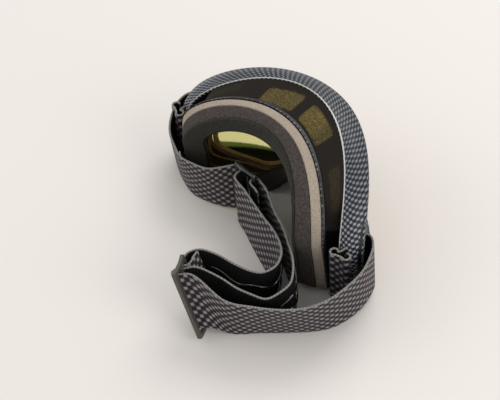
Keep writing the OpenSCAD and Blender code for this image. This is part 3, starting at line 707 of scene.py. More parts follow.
def frame_section(t):
    """The frame's outline at angle t: round the outside, over the lens groove and down the inner wall.

    Each point is a rim's, drawn in and then moved forward by some millimetres.
    """
    low, wall, bend_in = is_low(t), wall_inset(t), corner(t)
    side = 1 - (ease((from_side(t) - 54) / 20) if low else past_temple(t))
    nose_in, lip = rim_pt(FRONT, t, 1.4, 0.4), rim_pt(LENS, t, -3.6, 3.2)
    rise = Vector((0, 0, 1.4 * (1 - side) if low else 0))
    groove, depth = LENS_T / 2 + LENS_GAP, -LENS_BITE - LENS_GAP
    rear = rim_pt(FLANGE, t, WALL_REAR + wall + WALL_T, FLANGE_T)
    front = rim_pt(PIPED, t, WALL_FRONT + wall + WALL_T, -1.2)
    seat = rim_pt(LENS, t, 0, -3.4)
    reach = (seat.y - rear.y) / (front.y - rear.y)
    return [
        rim_pt(FLANGE, t), rim_pt(FLANGE, t, 0, FLANGE_T), rim_pt(FLANGE, t, WALL_REAR + wall, FLANGE_T),
        rim_pt(PIPED, t, WALL_FRONT + wall, 0.9), rim_pt(PIPED, t, 1.3), rim_pt(PIPED, t), rim_pt(CROWN, t),
        rim_pt(FRONT, t, 0, -1.2), nose_in,
        mix(mix(nose_in, lip, 0.25), rim_pt(CROWN, t, 1.6, 1.6), side),
        mix(mix(nose_in, lip, 0.5) + rise, rim_pt(PIPED, t, 1.5 + 2.4 * bend_in, 3.2), side),
        mix(mix(nose_in, lip, 0.75) + rise, rim_pt(PIPED, t, 3.6 + 2 * bend_in, 3.2), side),
        lip, rim_pt(LENS, t, 0, 2.2), rim_pt(LENS, t, 0, groove), rim_pt(LENS, t, depth, groove),
        rim_pt(LENS, t, depth, -groove), rim_pt(LENS, t, 0, -groove), seat,
        mix(rear, front, min(0.74, (0.78 - 0.3 * bend_in) * reach)), rear,
        rim_pt(FLANGE, t, 10 + 2 * side, FLANGE_T), rim_pt(FLANGE, t, 10 + 2 * side),
    ]


# The section's sides that are the inner wall, in painted light, and the corner radii of windows and strap slots
INNER_WALL = range(17, 22)
WINDOW_R, SLOT_R = 2.6, 1.2


def hull_of(whole, shapes):
    """Adds the convex hull of some shapes to a bmesh."""
    bm = bmesh.new()
    for shape in shapes:
        shape(bm)
    done = bmesh.ops.convex_hull(bm, input=bm.verts)
    inside = {e for e in done["geom_interior"] + done["geom_unused"] if isinstance(e, bmesh.types.BMVert)}
    bmesh.ops.delete(bm, geom=list(inside), context="VERTS")
    bmesh.ops.recalc_face_normals(bm, faces=bm.faces)
    add_to(whole, bm)


def openings():
    """The vents' windows and the two slots for the strap, as closed shapes."""
    whole = bmesh.new()
    for start, end, lo0, hi0, lo1, hi1, *light in WINDOWS:
        for flip in (False, True):
            spots = []
            for angle, f in ((start, lo0), (start, hi0), (end, lo1), (end, hi1)):
                t = 540 - angle if flip else angle
                # A corner's middle lies a little inside the wall
                wall = wall_inset(t) + (0.3 if is_low(t) else 1.1)
                spots.append(mix(rim_pt(FLANGE, t, WALL_REAR + wall, FLANGE_T),
                                 rim_pt(PIPED, t, WALL_FRONT + wall, 0.9), f))
            hull_of(whole, [lambda bm, p=p: bmesh.ops.create_icosphere(
                bm, subdivisions=2, radius=WINDOW_R, matrix=Matrix.Translation(p)) for p in spots])
    foot, top = STRAP_LIFT - 1.4, STRAP_LIFT + STRAP_W + 1.2
    for side in (-1, 1):
        spots = [Vector((side * (SLOT_X + x - 0.12 * y), SLOT_Y + y, (foot + top) / 2))
                 for x in (-1.8, 1.7) for y in (-8, 11)]
        hull_of(whole, [lambda bm, p=p: bmesh.ops.create_cone(
            bm, cap_ends=True, segments=20, radius1=SLOT_R, radius2=SLOT_R, depth=top - foot,
            matrix=Matrix.Translation(p)) for p in spots])
    return whole


def carve(piece, shapes, angle):
    """Cuts closed shapes out of a piece."""
    tool = link("carving", moved(shapes), [])
    cut = piece.modifiers.new("openings", "BOOLEAN")
    cut.operation, cut.solver, cut.object = "DIFFERENCE", "EXACT", tool
    mesh = bpy.data.meshes.new_from_object(piece.evaluated_get(bpy.context.evaluated_depsgraph_get()))
    piece.modifiers.clear()
    piece.data = mesh
    bpy.data.objects.remove(tool)
    bm = bmesh.new()
    bm.from_mesh(mesh)
    smooth(bm, angle)
    bm.to_mesh(mesh)
    bm.free()


class GOGGLES_OT_frame(Operator):
    """Moulded frame with its vent windows and strap slots"""
    bl_idname = "goggles.frame"
    bl_label = "Frame moulding"

    def execute(self, context):
        sizes, colours = settings()
        rows = [frame_section(t) for t in round_angles(220, 76)]
        bm, where, rank = sheet(rows, close_run=True, close_row=True)
        last = len(rows[0]) - 1
        for face in bm.faces:
            seam = rank[face] == 0 and max(where[v][1] for v in face.verts) == last
            face.material_index = 1 if rank[face] in INNER_WALL and not seam else 0
        weld(bm)
        tpu = moulded("TPU, moulded black", colours.moulding, 0.42, 0.7 * MM, 0.04 * MM)
        # The inner wall's dark brown is painted light: yellow light from the lens on the black moulding
        wall_painted_light = open_cell_foam("inner wall moulding, dark brown painted lens light", colours.wall_painted_light, sizes.foam_cell, 0.3)
        piece = to_object("frame_moulding", bm, [tpu, wall_painted_light])
        carve(piece, openings(), 32)
        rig.replaces(piece, "frame")
        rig.slot(piece, "frame_plastic")
        return {"FINISHED"}


class GOGGLES_OT_band(Operator):
    """Printed film over the band, with the pale line on its rear edge"""
    bl_idname = "goggles.band"
    bl_label = "Printed band"

    def execute(self, context):
        sizes, colours = settings()
        skin, line = sizes.band_skin / MM, sizes.edge_line / MM
        film, edging, nicks = [], [], []
        for t in round_angles(260, 80):
            a, b, c = (rim_pt(r, t, -skin) for r in (PIPED, CROWN, FRONT))
            film.append([through(a * 2 - b, a, b, c, f / 5) for f in range(5)]
                        + [through(a, b, c, c * 2 - b, f / 5) for f in range(6)]
                        + [rim_pt(FRONT, t, 0.9, 1.0)])
            piped = rim_pt(PIPED, t)
            out = (rim_pt(CROWN, t) - piped).normalized()
            back = (rim_pt(PIPED, t, 1.3) - piped).normalized()
            up = (a - rim_pt(PIPED, t, 1)).normalized()
            edging.append([a + out * line + up * 0.12, a + up * 0.3 + out * line * 0.4,
                           a + up * 0.2 - out * 0.25, a - out * 0.3 + back * 0.5, a - out * 0.2 + back * 1.3])
            nicks.append([rim_pt(FLANGE, t, 0.3, -skin), rim_pt(FLANGE, t, -skin, -skin / 2),
                          rim_pt(FLANGE, t, -skin, 0.7), rim_pt(FLANGE, t, 0.05, 1.1)])
        for name, rows, angle, coat in (("band_print", film, 60, band_print),
                                        ("band_edge_line", edging, 80, edge_line),
                                        ("flange_edge_print", nicks, 60, flange_print)):
            bm = sheet(rows, close_run=True)[0]
            weld(bm)
            smooth(bm, angle)
            piece = to_object(name, bm, [coat(sizes, colours)])
            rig.slot(piece, "frame_plastic")
        return {"FINISHED"}


def through(a, b, c, d, f):
    """A smooth curve through b and c at share f."""
    return 0.5 * (2 * b + (c - a) * f + (2 * a - 5 * b + 4 * c - d) * f * f
                  + (3 * b - a - 3 * c + d) * f ** 3)


def on_lens(x, z):
    """A point of the lens's middle surface."""
    return Vector((x, LENS[4] - x * x / (2 * LENS[5]) - LENS_LEAN * (LENS_TOP - z), z))


def lens_out(x):
    return Vector((x / LENS[5], 1, -LENS_LEAN)).normalized()


# The lens's first and last columns stop just short of its points
LAST_COLUMN = 0.9995
# A post's turned profile, as radius and height above the lens
POST_PROFILE = ((0, 0), (POST_R + 1.2, 0), (POST_R + 1.2, 0.8), (POST_R, 0.8), (POST_R, 0.8 + POST_L),
                (POST_R - 0.6, 1.4 + POST_L), (0, 1.4 + POST_L))


class GOGGLES_OT_lens(Operator):
    """Lens sheet with its gasket and posts"""
    bl_idname = "goggles.lens"
    bl_label = "Lens, gasket and posts"

    def execute(self, context):
        sizes, colours = settings()
        half, mid = LENS_HALF_W + LENS_BITE, LENS[2]
        cols, levels = 96, 24
        rows = []
        for i in range(cols + 1):
            x = -half * math.cos(math.pi * i / cols) * LAST_COLUMN
            rise, fall = ((1 - (abs(x) / half) ** n) ** (1 / n) for n in (LENS[6], LENS[7]))
            top = mid + (LENS_TOP + LENS_BITE - mid) * rise
            nose = NOSE_RISE * hump(x, NOSE_HALF_W + LENS[9])
            foot = mid - (mid - LENS_BOTTOM + LENS_BITE) * fall + nose * fall
            line = [on_lens(x, mix(foot, top, j / levels)) for j in range(levels + 1)]
            out = lens_out(x) * LENS_T / 2
            rows.append([p - out for p in line] + [p + out for p in reversed(line)])
        bm, where, rank = sheet(rows, close_row=True)
        for face in bm.faces:
            inner = rank[face] < levels and max(where[v][1] for v in face.verts) <= levels
            face.material_index = 0 if inner else 1
        weld(bm, ends=True)
        smooth(bm, 40)
        # The inner face carries the painted glow and shade; the outer face is the gold mirror
        piece = to_object("lens_sheet", bm, [lens_inside(colours), lens_mirror(colours)])
        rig.replaces(piece, "lens")
        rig.slot(piece, "lens_film")

        wide, thick, inset, back = 2.4, 1.0, 0.7, -LENS_T / 2 - SOFT_GAP
        rows = [[rim_pt(LENS, t, inset, back), rim_pt(LENS, t, inset + wide, back),
                 rim_pt(LENS, t, inset + wide, back - thick), rim_pt(LENS, t, inset, back - thick)]
                for t in round_angles(240, 80)]
        # The gasket's ochre is painted light from the lens
        foam = open_cell_foam("EVA foam gasket, ochre painted lens light", colours.gasket, 0.8 * MM, 0.15)
        piece = ring_piece("gasket_ring", rows, [foam], 0.25)
        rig.replaces(piece, "lens_gasket")
        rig.slot(piece, "gasket_foam")

        acetal = moulded("acetal, moulded white posts", linear(POST_WHITE), 0.35, 0.8 * MM, 0.02 * MM)
        whole = bmesh.new()
        for x in (POST_X, -POST_X):
            for z in POST_HEIGHTS:
                out = lens_out(x)
                turn = out.to_track_quat("Z", "Y").to_matrix().to_4x4()
                stand = Matrix.Translation(on_lens(x, z) + out * (LENS_T / 2 + 0.05)) @ turn
                bm = bmesh.new()
                line = [bm.verts.new((r, 0, h)) for r, h in POST_PROFILE]
                edges = [bm.edges.new(pair) for pair in zip(line, line[1:])]
                bmesh.ops.spin(bm, geom=line + edges, cent=(0, 0, 0), axis=(0, 0, 1), angle=2 * math.pi,
                               steps=32, use_merge=True)
                weld(bm)
                bmesh.ops.transform(bm, matrix=stand, verts=bm.verts)
                add_to(whole, bm)
        # A spin's merged vertices come in another order in each run
        in_order(whole.verts, lambda v: v.co[:])
        in_order(whole.faces, lambda f: f.calc_center_median()[:])
        smooth(whole, 35)
        piece = to_object("posts", whole, [acetal])
        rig.replaces(piece, "tear_off_posts")
        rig.slot(piece, "post_plastic")
        return {"FINISHED"}


def ring_piece(name, rows, materials, rounding, paint=None):
    """A closed ring of four-cornered sections whose four edges are rounded."""
    bm, where, rank = sheet(rows, close_run=True, close_row=True)
    if paint:
        for face in bm.faces:
            face.material_index = paint(rank[face])
    ids = bm.edges.layers.int.new("long")
    for e in bm.edges:
        e[ids] = where[e.verts[0]][1] == where[e.verts[1]][1]
    weld(bm)
    edges = [e for e in bm.edges if e[ids]]
    bmesh.ops.bevel(bm, geom=edges, offset=rounding, offset_type="OFFSET", affect="EDGES",
                    segments=3, profile=0.5, material=-1, clamp_overlap=True)
    bmesh.ops.recalc_face_normals(bm, faces=bm.faces)
    smooth(bm, 50)
    return to_object(name, bm, materials)


class GOGGLES_OT_face_foam(Operator):
    """Three bonded layers of face foam"""
    bl_idname = "goggles.face_foam"
    bl_label = "Face foam"

    def execute(self, context):
        sizes, colours = settings()
        cell = sizes.foam_cell
        # The inner walls of all three layers are painted near-black as shade inside the goggles
        film = open_cell_foam("polyurethane foam, inner wall in painted shade", linear(PAINTED_SHADE_FOAM), cell, 0.35, 0)
        layers = [
            ("foam_base", "foam_base_layer", "tan_foam",
             open_cell_foam("polyurethane foam, tan", colours.foam_tan, cell, 0.14),
             (FLANGE, 0.5, -SOFT_GAP - 0.15, TAN, 0, 0, FOAM_W, FOAM_W)),
            ("foam_middle", "foam_middle_layer", "grey_foam",
             open_cell_foam("polyurethane foam, grey", colours.foam_grey, cell, 0.35),
             (TAN, 0, -SOFT_GAP, FACE, 0, 0, FOAM_W, FOAM_W + 0.5)),
            ("foam_fleece", "foam_face_layer", "face_fleece",
             open_cell_foam("brushed polyester fleece", colours.foam_face, cell, 0.35, 0.08),
             (FACE, 0, -SOFT_GAP, FACE, 1, -SOFT_GAP - FLEECE_T, FOAM_W + 0.5, FOAM_W)),
        ]
        for name, node, slot, skin, (a, a_in, a_dy, b, b_in, b_dy, in_a, in_b) in layers:
            rows = [[rim_pt(a, t, a_in, a_dy), rim_pt(a, t, in_a, a_dy),
                     rim_pt(b, t, in_b, b_dy), rim_pt(b, t, b_in, b_dy)]
                    for t in round_angles(200, 64)]
            # Side 1 of each layer, its inner wall, takes the painted shade
            piece = ring_piece(name, rows, [skin, film], sizes.foam_round / MM, lambda j: 1 if j == 1 else 0)
            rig.replaces(piece, node)
            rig.slot(piece, slot)
            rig.padded(piece, fill=1)
        return {"FINISHED"}


# Windows behind the vent foam: angle near the brow, angle near the temple, where each end starts
# and stops as shares of the depth, how bright the painted light on the foam is at each end, and how
# bright on the far side
WINDOWS = [
    (84, 68, 0.18, 0.66, 0.18, 0.7, 1.0, 0.6, 0.8),
    (49, 28, 0.4, 0.74, 0.44, 0.72, 0.15, 0.08, 0.08),
    (296, 318, 0.26, 0.74, 0.35, 0.68, 0.05, 0.05, 0.05),
]
# How far the painted light on the far side is turned in degrees, and how far it sinks towards the
# temple as a share of the depth
FAR_TURN, FAR_SAG = 2, 0.2
# How far the painted light spreads past a window and over what width it fades, in mm
GLOW, FADE = 1.9, 1.0
MM_PER_DEGREE = 1.25


def painted_light_at(t, f):
    """How much painted light shows on the vent foam at an angle and a share of the depth."""
    best = 0.0
    for start, end, lo0, hi0, lo1, hi1, near0, near1, far in WINDOWS:
        for angle, flip in ((t % 360, False), ((540 - FAR_TURN - t) % 360, True)):
            a = (angle - start) / (end - start)
            k = min(1, max(0, a))
            sag = FAR_SAG * k if flip else 0
            lo, hi = mix(lo0, lo1, k) - sag, mix(hi0, hi1, k) - sag
            run = max(-a, a - 1, 0) * abs(end - start) * MM_PER_DEGREE
            deep = max(lo - f, f - hi, 0) * FRAME_DEPTH
            gain = far if flip else mix(near0, near1, ease((a - 0.45) / 0.5))
            best = max(best, gain * (1 - ease((math.hypot(run, deep) - GLOW) / FADE)))
    return best


class GOGGLES_OT_vent_foam(Operator):
    """Thin foam over the vents, with painted gold light over the windows"""
    bl_idname = "goggles.vent_foam"
    bl_label = "Vent foam"

    def execute(self, context):
        sizes, colours = settings()
        skin = vent_foam_material(sizes, colours)
        deep = 20
        strips = (("vent_foam_top", "top_vent_foam", 9.5, 161, 260, SOFT_GAP),
                  ("vent_foam_bottom", "bottom_vent_foam", 222, 96, 200, 0.5))
        for name, node, first, degrees, count, gap in strips:
            steps = [first + i * degrees / count for i in range(count + 1)]
            rows = []
            for t in steps:
                inset = wall_inset(t) - gap
                ends = [(rim_pt(FLANGE, t, WALL_REAR + inset - d, FLANGE_T + 0.5),
                         rim_pt(PIPED, t, WALL_FRONT + inset - d, -0.6)) for d in (VENT_T, 0)]
                outer = [mix(ends[0][0], ends[0][1], j / deep) for j in range(deep + 1)]
                inner = [mix(ends[1][0], ends[1][1], j / deep) for j in range(deep, -1, -1)]
                rows.append(outer + inner)

            # Painted light on each point of the foam, from the windows behind it
            def lit(i, j, steps=steps):
                f = j / deep if j <= deep else (2 * deep + 1 - j) / deep
                return painted_light_at(steps[min(i, len(steps) - 1)], f)
            bm = sheet(rows, close_row=True, attributes={"lit": lit})[0]
            weld(bm, ends=True)
            smooth(bm, 50)
            piece = to_object(name, bm, [skin])
            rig.replaces(piece, node)
            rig.slot(piece, "vent_foam")
            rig.padded(piece, fill=1)
        return {"FINISHED"}


# The straps' routes, as the CAD source gives them: places are a lower edge and an upper edge

SLOT_X, SLOT_Y = 81.8, -25.5
# Each slider stands at a point, with the directions along its strap, up it and out of it
LEFT_AT = (Vector((-15, -34.5, 0.8)), Vector((0.9986, 0.0523, 0)), Vector((0, 0, 1)),
           Vector((0.0523, -0.9986, 0)))
LEAN_UP = Vector((-0.332, -0.025, 0.943)).normalized()
ROW_DIR = Vector((-0.6, 0.76, -0.191)).normalized()
RIGHT_AT = (Vector((49.6, -117.9, 4)), ROW_DIR, LEAN_UP, ROW_DIR.cross(LEAN_UP))
STRAP_RISE = SLIDER_END + 0.5
BEND_R = math.hypot(BAR_W, SLIDER_T) / 2 + STRAP_GAP + STRAP_T / 2
FOLD_R, ROLL_R = 2.8, 2.6


def place(x, y, z, lean_x=0, lean_y=0):
    """The webbing's lower edge at x, y, z, and its upper edge, which leans over by lean_x and lean_y."""
    rise = math.sqrt(STRAP_W ** 2 - lean_x ** 2 - lean_y ** 2)
    return (Vector((x, y, z)), Vector((x + lean_x, y + lean_y, z + rise)))


def at_slider(s, u, n):
    """A place u along a slider's strap and n out of it."""
    p = s[0] + s[1] * u + s[3] * n + s[2] * STRAP_RISE
    return (p, p + s[2] * STRAP_W)


def bend(s, u, n, r, a0, a1, steps):
    """Places round a bar of a slider, from one angle to another."""
    turns = [math.radians(a0 + (a1 - a0) * i / steps) for i in range(steps + 1)]
    return [at_slider(s, u + r * math.cos(a), n + r * math.sin(a)) for a in turns]


def tube(x, y, a0, a1):
    """Places round the sewn roll beside a slot, from one angle to another."""
    turns = [math.radians(a0 + (a1 - a0) * i / 6) for i in range(7)]
    return [place(SLOT_X + x + ROLL_R * math.cos(a), SLOT_Y + y + ROLL_R * math.sin(a), STRAP_LIFT)
            for a in turns]


ROLL_AND_SLOT = (tube(5.6, -4.6, 110, -110) + tube(-2, -7.4, -28, -312)
                 + [place(SLOT_X + 0.6, SLOT_Y - 2.6, STRAP_LIFT), place(SLOT_X, SLOT_Y + 2, STRAP_LIFT),
                    place(SLOT_X - 0.8, SLOT_Y + 9, STRAP_LIFT)])


def flipped(v):
    """The same point on the other side."""
    return Vector((-v.x, v.y, v.z))


def places(rows):
    return [place(*r) for r in rows]


LEFT_PLACES = (
    [(flipped(a), flipped(b)) for a, b in ROLL_AND_SLOT]
    + places([
        (-81, -10.5, STRAP_LIFT), (-85, -7, 5.3, 0.5, -1), (-90, -9, 4.8, 1.5, -1.5),
        (-94.2, -15.5, 4, 1.8, -2), (-94.8, -24.5, 3, 4, -3), (-90.5, -32, 1.6, 7, -6.5),
        (-84, -38, 0.8, 9.5, -8),
        (-75, -42.2, 0.9, 12.5, -8.6), (-64.5, -45.6, 0.9, 12, -8), (-52, -47.5, 0.9, 10, -4.5),
        (-39.5, -44, 0.9, 8.5, -3.5), (-27, -38.6, 2.2, 3, -2.2)])
    + bend(LEFT_AT, 0, -SLIDER_BOW / 3, BEND_R, 240, 355, 5)
    + [at_slider(LEFT_AT, 4.8, 6)]
    + places([
        (0, -42.5, 2, 2, 1), (10, -45.5, 0.9, 4, 2), (22, -49, 0.9, 5, 3), (35, -52.5, 0.9, 5, 4.5),
        (46.5, -56, 0.9, 4.5, 4), (54.5, -60.5, 0.9, 3.5, 3), (59, -67, 0.9, 3, 1), (59.5, -73, 0.9, 1, -1),
        (55.5, -78.5, 0.9), (46, -83, 0.9, -2, 0), (37, -86.5, 0.9, -7, 0), (31.5, -91.5, 0.4, -13, 0),
        (31.5, -98, 1.2, -15.6, -0.5)])
    + bend(RIGHT_AT, 2 * BAR_PITCH, -SLIDER_BOW / 3, BEND_R, -55, -165, 5)
    + [at_slider(RIGHT_AT, 2 * BAR_PITCH + u, n) for u, n in ((-2.4, 2.4), (0.5, 4), (5, 4.2), (10, 5.4))]
)
RIGHT_PLACES = (
    ROLL_AND_SLOT
    + places([
        (81, -10.5, STRAP_LIFT), (85, -6.5, 5.3, 0.5, -1.5), (90, -8.5, 5, 1.5, -3),
        (94.5, -15.5, 5, 3, -4.5), (98, -26, 4.6, 4, -4), (98.5, -38, 3.4, 5, -4),
        (95.5, -49.5, 1.4, 7, -6), (89.5, -60, 0.9, 9, -8.5),
        (81, -71, 0.9, 9.5, -9.5), (68.5, -86, 0.9, 7.5, -8.5), (58.5, -98.5, 0.6, 2, -6.5)])
    + [at_slider(RIGHT_AT, 5.2, 8)]
    + bend(RIGHT_AT, BAR_PITCH, -3.4, FOLD_R, 180, 360, 8)
    + [at_slider(RIGHT_AT, BAR_PITCH + FOLD_R, 1.5), at_slider(RIGHT_AT, BAR_PITCH + FOLD_R + 0.6, 9)]
    + places([
        (52.5, -97.5, 1.2, -6, 1.5), (58, -92.5, 0.4, 0, -1), (64.5, -87.6, 0.9, 3.5, -2.4),
        (70.5, -79.8, 0.9, 6.5, -5), (75.2, -73.5, 0.9, 3.8, -3), (76, -66, 0.9, 2, -1), (72, -59.5, 0.9),
        (64, -53.2, 0.9), (54, -48, 0.9), (41, -42, 0.9), (26, -37, 0.6)])
    + [at_slider(LEFT_AT, 2 * BAR_PITCH + u, n) for u, n in ((10, -1.2), (4, -2.7))]
    + bend(LEFT_AT, 2 * BAR_PITCH, -SLIDER_BOW / 3, BEND_R, -90, -270, 6)
    + [at_slider(LEFT_AT, 2 * BAR_PITCH + u, n) for u, n in ((4, 3.5), (8, 4.6))]
)


def smooth_run(run, cuts):
    """A curve through the places, on which a short step keeps its own direction."""
    def root(p, q):
        return math.sqrt(max(0.01, (p[0] + p[1] - q[0] - q[1]).length / 2))
    out = []
    for i in range(len(run) - 1):
        a, b, c, d = run[max(i - 1, 0)], run[i], run[i + 1], run[min(i + 2, len(run) - 1)]
        r, s, t = root(a, b), root(b, c), root(c, d)
        for k in range(cuts):
            f = k / cuts
            g = f * f
            pair = []
            for e in (0, 1):
                go = c[e] - b[e] + ((b[e] - a[e]) / r - (c[e] - a[e]) / (r + s)) * s
                come = c[e] - b[e] + ((d[e] - c[e]) / t - (d[e] - b[e]) / (s + t)) * s
                pair.append(b[e] * (1 - 3 * g + 2 * g * f) + go * (f - 2 * g + g * f)
                            + c[e] * (3 - 2 * f) * g + come * (f - 1) * g)
            out.append(tuple(pair))
    return out + [run[-1]]


def sideways(run, i):
    a, b = run[max(i - 1, 0)], run[min(i + 1, len(run) - 1)]
    return (b[0] + b[1] - a[0] - a[1]).cross(run[i][1] - run[i][0]).normalized()


CUTS = 6
FACE_STEPS, EDGE_STEPS = 14, 4
# Each strap parts inside the sliders and where it lies still, and each part bends with one slider:
# first and last place, bodies, and where it leaves the one and has joined the other, in mm
LEFT_PARTS = [("", 0, 31.5, "goggles", "left_adjuster", (-50, 0), (-22, 0)),
              ("_middle", 31.5, 45, "left_adjuster", "goggles", (-8, 0), (22, 0)),
              ("_end", 45, 58, "goggles", "right_adjuster", (0, -84), (0, -97))]
RIGHT_PARTS = [("", 0, 33, "goggles", "right_adjuster", (0, -82), (0, -98)),
               ("_middle", 33, 48, "right_adjuster", "goggles", (0, -98), (0, -82)),
               ("_end", 48, 61, "goggles", "left_adjuster", (45, 0), (14, 0))]


def bend_with(piece, near_body, far_body, leaves, joins):
    """Lets a piece bend from one body to another between two places seen from above, in mm."""
    at = [(Vector((*p, 0)) - MIDDLE) * MM for p in (leaves, joins)]
    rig.blend(piece, near_body, far_body, *at)


class GOGGLES_OT_straps(Operator):
    """The two elastic straps: printed face, black inner face and pale woven edges"""
    bl_idname = "goggles.straps"
    bl_label = "Straps"

    def execute(self, context):
        sizes, colours = settings()
        half = sizes.web_thick / MM / 2
        cloth = [webbing_face(sizes, colours), webbing_back(sizes, colours), webbing_edge(sizes, colours)]
        for name, node, run, inner, parts in (("strap_left", "left_strap", LEFT_PLACES, -1, LEFT_PARTS),
                                              ("strap_right", "right_strap", RIGHT_PLACES, 1, RIGHT_PARTS)):
            line = smooth_run(run, CUTS)
            rows = []
            for i, (low, high) in enumerate(line):
                q = sideways(line, i) * -inner
                up = (high - low).normalized()
                face = [(half + (STRAP_W - 2 * half) * j / FACE_STEPS, half) for j in range(FACE_STEPS + 1)]
                turn = [math.pi * k / (EDGE_STEPS + 1) for k in range(1, EDGE_STEPS + 1)]
                far = [(STRAP_W - half + half * math.sin(a), half * math.cos(a)) for a in turn]
                back = [(w, -half) for w, h in reversed(face)]
                near = [(half - half * math.sin(a), -half * math.cos(a)) for a in turn]
                rows.append([low + up * w + q * h for w, h in face + far + back + near])
            across = ([STRAP_W * j / FACE_STEPS for j in range(FACE_STEPS + 1)]
                      + [STRAP_W + k for k in range(1, EDGE_STEPS + 1)]
                      + [STRAP_W * (2 - j / FACE_STEPS) for j in range(FACE_STEPS + 1)]
                      + [-k for k in range(1, EDGE_STEPS + 2)])
            for ending, start, end, *bending in parts:
                bm, where, rank = sheet(rows, close_row=True, across=across)
                first, second = FACE_STEPS, FACE_STEPS + EDGE_STEPS + 1
                for f in bm.faces:
                    j = rank[f]
                    if j == 0 and max(where[v][1] for v in f.verts) > 1:
                        j = len(rows[0])
                    on_back = second <= j < second + FACE_STEPS
                    f.material_index = 0 if j < first else 1 if on_back else 2
                bmesh.ops.delete(bm, context="VERTS", geom=[
                    v for v in bm.verts if not start * CUTS <= where[v][0] <= end * CUTS])
                weld(bm, ends=True)
                smooth(bm, 50)
                piece = to_object(name + ending, bm, cloth, None)
                bend_with(piece, *bending)
                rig.replaces(piece, node)
                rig.slot(piece, "webbing")
        return {"FINISHED"}


# Silicone lines run along an inner face from one place to another, at two heights
GRIP_SPANS = [
    ("grips_left", "left_strap_grips", LEFT_PLACES, [(38, 48)], -1, LEFT_PARTS[2]),
    ("grips_right", "right_strap_grips", RIGHT_PLACES, [(21, 27), (44, 50)], 1, RIGHT_PARTS[0]),
]
GRIP_MIDS = (0.36, 0.66)


class GOGGLES_OT_grips(Operator):
    """Wavy silicone beads on the straps' inner faces"""
    bl_idname = "goggles.grips"
    bl_label = "Silicone lines"

    def execute(self, context):
        sizes = settings()[0]
        skin = silicone()
        wide, high = sizes.grip_wide / MM / 2, sizes.grip_high / MM
        base = STRAP_T / 2 + 0.1
        for name, node, run, spans, inner, part in GRIP_SPANS:
            line = smooth_run(run, CUTS)
            whole = bmesh.new()
            for first, last in spans:
                for mid in GRIP_MIDS:
                    rows, gone = [], 0.0
                    for i in range(first * CUTS, last * CUTS + 1):
                        low, high_edge = line[i]
                        if i > first * CUTS:
                            gone += (low - line[i - 1][0]).length
                        q = sideways(line, i) * inner
                        up = (high_edge - low).normalized()
                        swing = GRIP_SWING * math.sin(2 * math.pi * gone / GRIP_WAVE)
                        middle = low + up * (mid * STRAP_W + swing)
                        turn = [math.pi * k / 8 for k in range(9)]
                        rows.append([middle + up * wide * math.cos(a)
                                     + q * (base + (0.55 + high) * math.sin(a)) for a in turn])
                    bm = sheet(rows, close_row=True)[0]
                    weld(bm, ends=True)
                    add_to(whole, bm)
            smooth(whole, 60)
            piece = to_object(name, whole, [skin], None)
            bend_with(piece, *part[3:])
            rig.replaces(piece, node)
            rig.slot(piece, "silicone")
        return {"FINISHED"}


class GOGGLES_OT_sliders(Operator):
    """The two three-bar sliders, with their moulded edges rounded"""
    bl_idname = "goggles.sliders"
    bl_label = "Sliders"

    def execute(self, context):
        sizes, colours = settings()
        skins = {
            "left_slider": moulded("nylon, moulded gloss black", colours.slider_black, 0.22, 0.6 * MM,
                                   0.02 * MM, 0.6),
            "right_slider": moulded("nylon, moulded satin grey", colours.slider_grey, 0.4, 0.6 * MM,
                                    0.03 * MM, 0.2),
        }
        for node, body, slot in (("left_slider", "left_adjuster", "black_plastic"),
                                 ("right_slider", "right_adjuster", "grey_plastic")):
            bm = cad_copy(node)
            bmesh.ops.dissolve_limit(bm, angle_limit=math.radians(1), verts=bm.verts, edges=bm.edges)
            edges = [e for e in bm.edges if len(e.link_faces) == 2 and e.calc_face_angle() > math.radians(40)]
            bmesh.ops.bevel(bm, geom=edges, offset=sizes.slider_round, offset_type="OFFSET", affect="EDGES",
                            segments=3, profile=0.5, material=-1, clamp_overlap=True)
            smooth(bm, 35)
            piece = link(node + "_moulding", bm, [skins[node]], body)
            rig.replaces(piece, node)
            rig.slot(piece, slot)
        return {"FINISHED"}


# Camera at the photograph's viewing angle: bearing, height and roll in degrees
BEARING, HEIGHT, ROLL = 55.3, 49.4, -5.2
TARGET = Vector((-26.283, 19.255, 0)) * MM
DISTANCE = 862.07 * MM


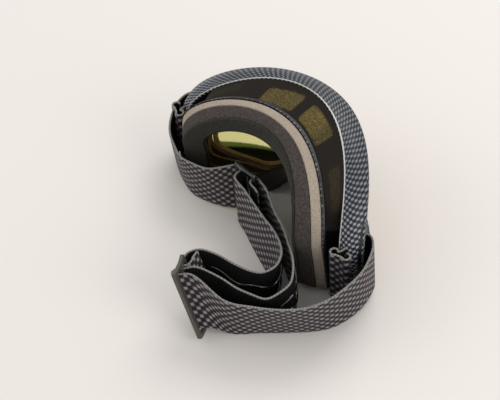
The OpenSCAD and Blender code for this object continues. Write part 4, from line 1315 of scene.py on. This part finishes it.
class GOGGLES_OT_stage(Operator):
    """Pale floor, soft lights and the camera"""
    bl_idname = "goggles.stage"
    bl_label = "Stage"

    def execute(self, context):
        colours = settings()[1]
        scene = context.scene
        scene.view_settings.view_transform = "Standard"
        bm = bmesh.new()
        bmesh.ops.create_grid(bm, x_segments=1, y_segments=1, size=3)
        mesh = bpy.data.meshes.new("floor")
        bm.to_mesh(mesh)
        bm.free()
        mesh.materials.append(Look("painted floor, matt").coat(
            Base_Color=colours.floor, Roughness=0.9, Specular_IOR_Level=0.1))
        floor = bpy.data.objects.new("floor", mesh)
        scene.collection.objects.link(floor)
        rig.stage(floor)

        world = bpy.data.worlds.new("studio")
        scene.world = world
        world.use_nodes = True
        sky = world.node_tree.nodes["Background"].inputs
        sky["Color"].default_value = (0.98, 0.99, 1.0, 1)
        sky["Strength"].default_value = 0.78

        # Name, place and size in metres, and power in watts
        lamps = [("key", (-0.35, 1.0, 1.3), 1.0, 10), ("side", (1.3, 0.35, 0.9), 0.9, 6),
                 ("fill", (-1.1, -1.2, 1.2), 1.2, 5)]
        for name, where, size, power in lamps:
            lamp = bpy.data.lights.new(name, "AREA")
            lamp.size = size
            lamp.energy = power
            lamp_object = bpy.data.objects.new(name, lamp)
            scene.collection.objects.link(lamp_object)
            lamp_object.location = where
            lamp_object.rotation_euler = (-Vector(where)).to_track_quat("-Z", "Y").to_euler()

        a, e, r = (math.radians(v) for v in (BEARING, HEIGHT, ROLL))
        back = Vector((math.sin(a) * math.cos(e), -math.cos(a) * math.cos(e), math.sin(e)))
        right = Vector((math.cos(a), math.sin(a), 0))
        up = back.cross(right)
        right, up = right * math.cos(r) + up * math.sin(r), up * math.cos(r) - right * math.sin(r)
        camera = bpy.data.cameras.new("camera")
        camera.lens = 90
        camera.sensor_width = 36
        camera.clip_start, camera.clip_end = 0.05, 20
        view = bpy.data.objects.new("camera", camera)
        scene.collection.objects.link(view)
        turn = [[right[i], up[i], back[i]] for i in range(3)]
        view.matrix_world = Matrix.Translation(TARGET + back * DISTANCE) @ Matrix(turn).to_4x4()
        scene.camera = view
        return {"FINISHED"}


OPERATORS = (GOGGLES_OT_frame, GOGGLES_OT_band, GOGGLES_OT_lens, GOGGLES_OT_face_foam, GOGGLES_OT_vent_foam,
             GOGGLES_OT_straps, GOGGLES_OT_grips, GOGGLES_OT_sliders, GOGGLES_OT_stage)


class GOGGLES_PT_panel(Panel):
    """Lists the sizes, colours and pieces"""
    bl_idname = "GOGGLES_PT_panel"
    bl_label = "Motocross goggles"
    bl_space_type = "VIEW_3D"
    bl_region_type = "UI"
    bl_category = "Goggles"

    def draw(self, context):
        for op in OPERATORS:
            self.layout.operator(op.bl_idname)
        for group in (context.scene.goggle_sizes, context.scene.goggle_colours):
            for key in group.__annotations__:
                self.layout.prop(group, key)


CLASSES = (GoggleSizes, GoggleColours, *OPERATORS, GOGGLES_PT_panel)


def register():
    for c in CLASSES:
        bpy.utils.register_class(c)
    bpy.types.Scene.goggle_sizes = PointerProperty(type=GoggleSizes)
    bpy.types.Scene.goggle_colours = PointerProperty(type=GoggleColours)


def unregister():
    del bpy.types.Scene.goggle_sizes
    del bpy.types.Scene.goggle_colours
    for c in reversed(CLASSES):
        bpy.utils.unregister_class(c)


def main():
    register()
    for op in OPERATORS:
        getattr(bpy.ops.goggles, op.bl_idname.split(".")[1])()
    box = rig.bounds()
    with open("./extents.json", "w") as f:
        json.dump({"cad": [list(c) for c in CAD_BOX], "visual": [list(c) for c in box]}, f)


if __name__ == "__main__":
    main()
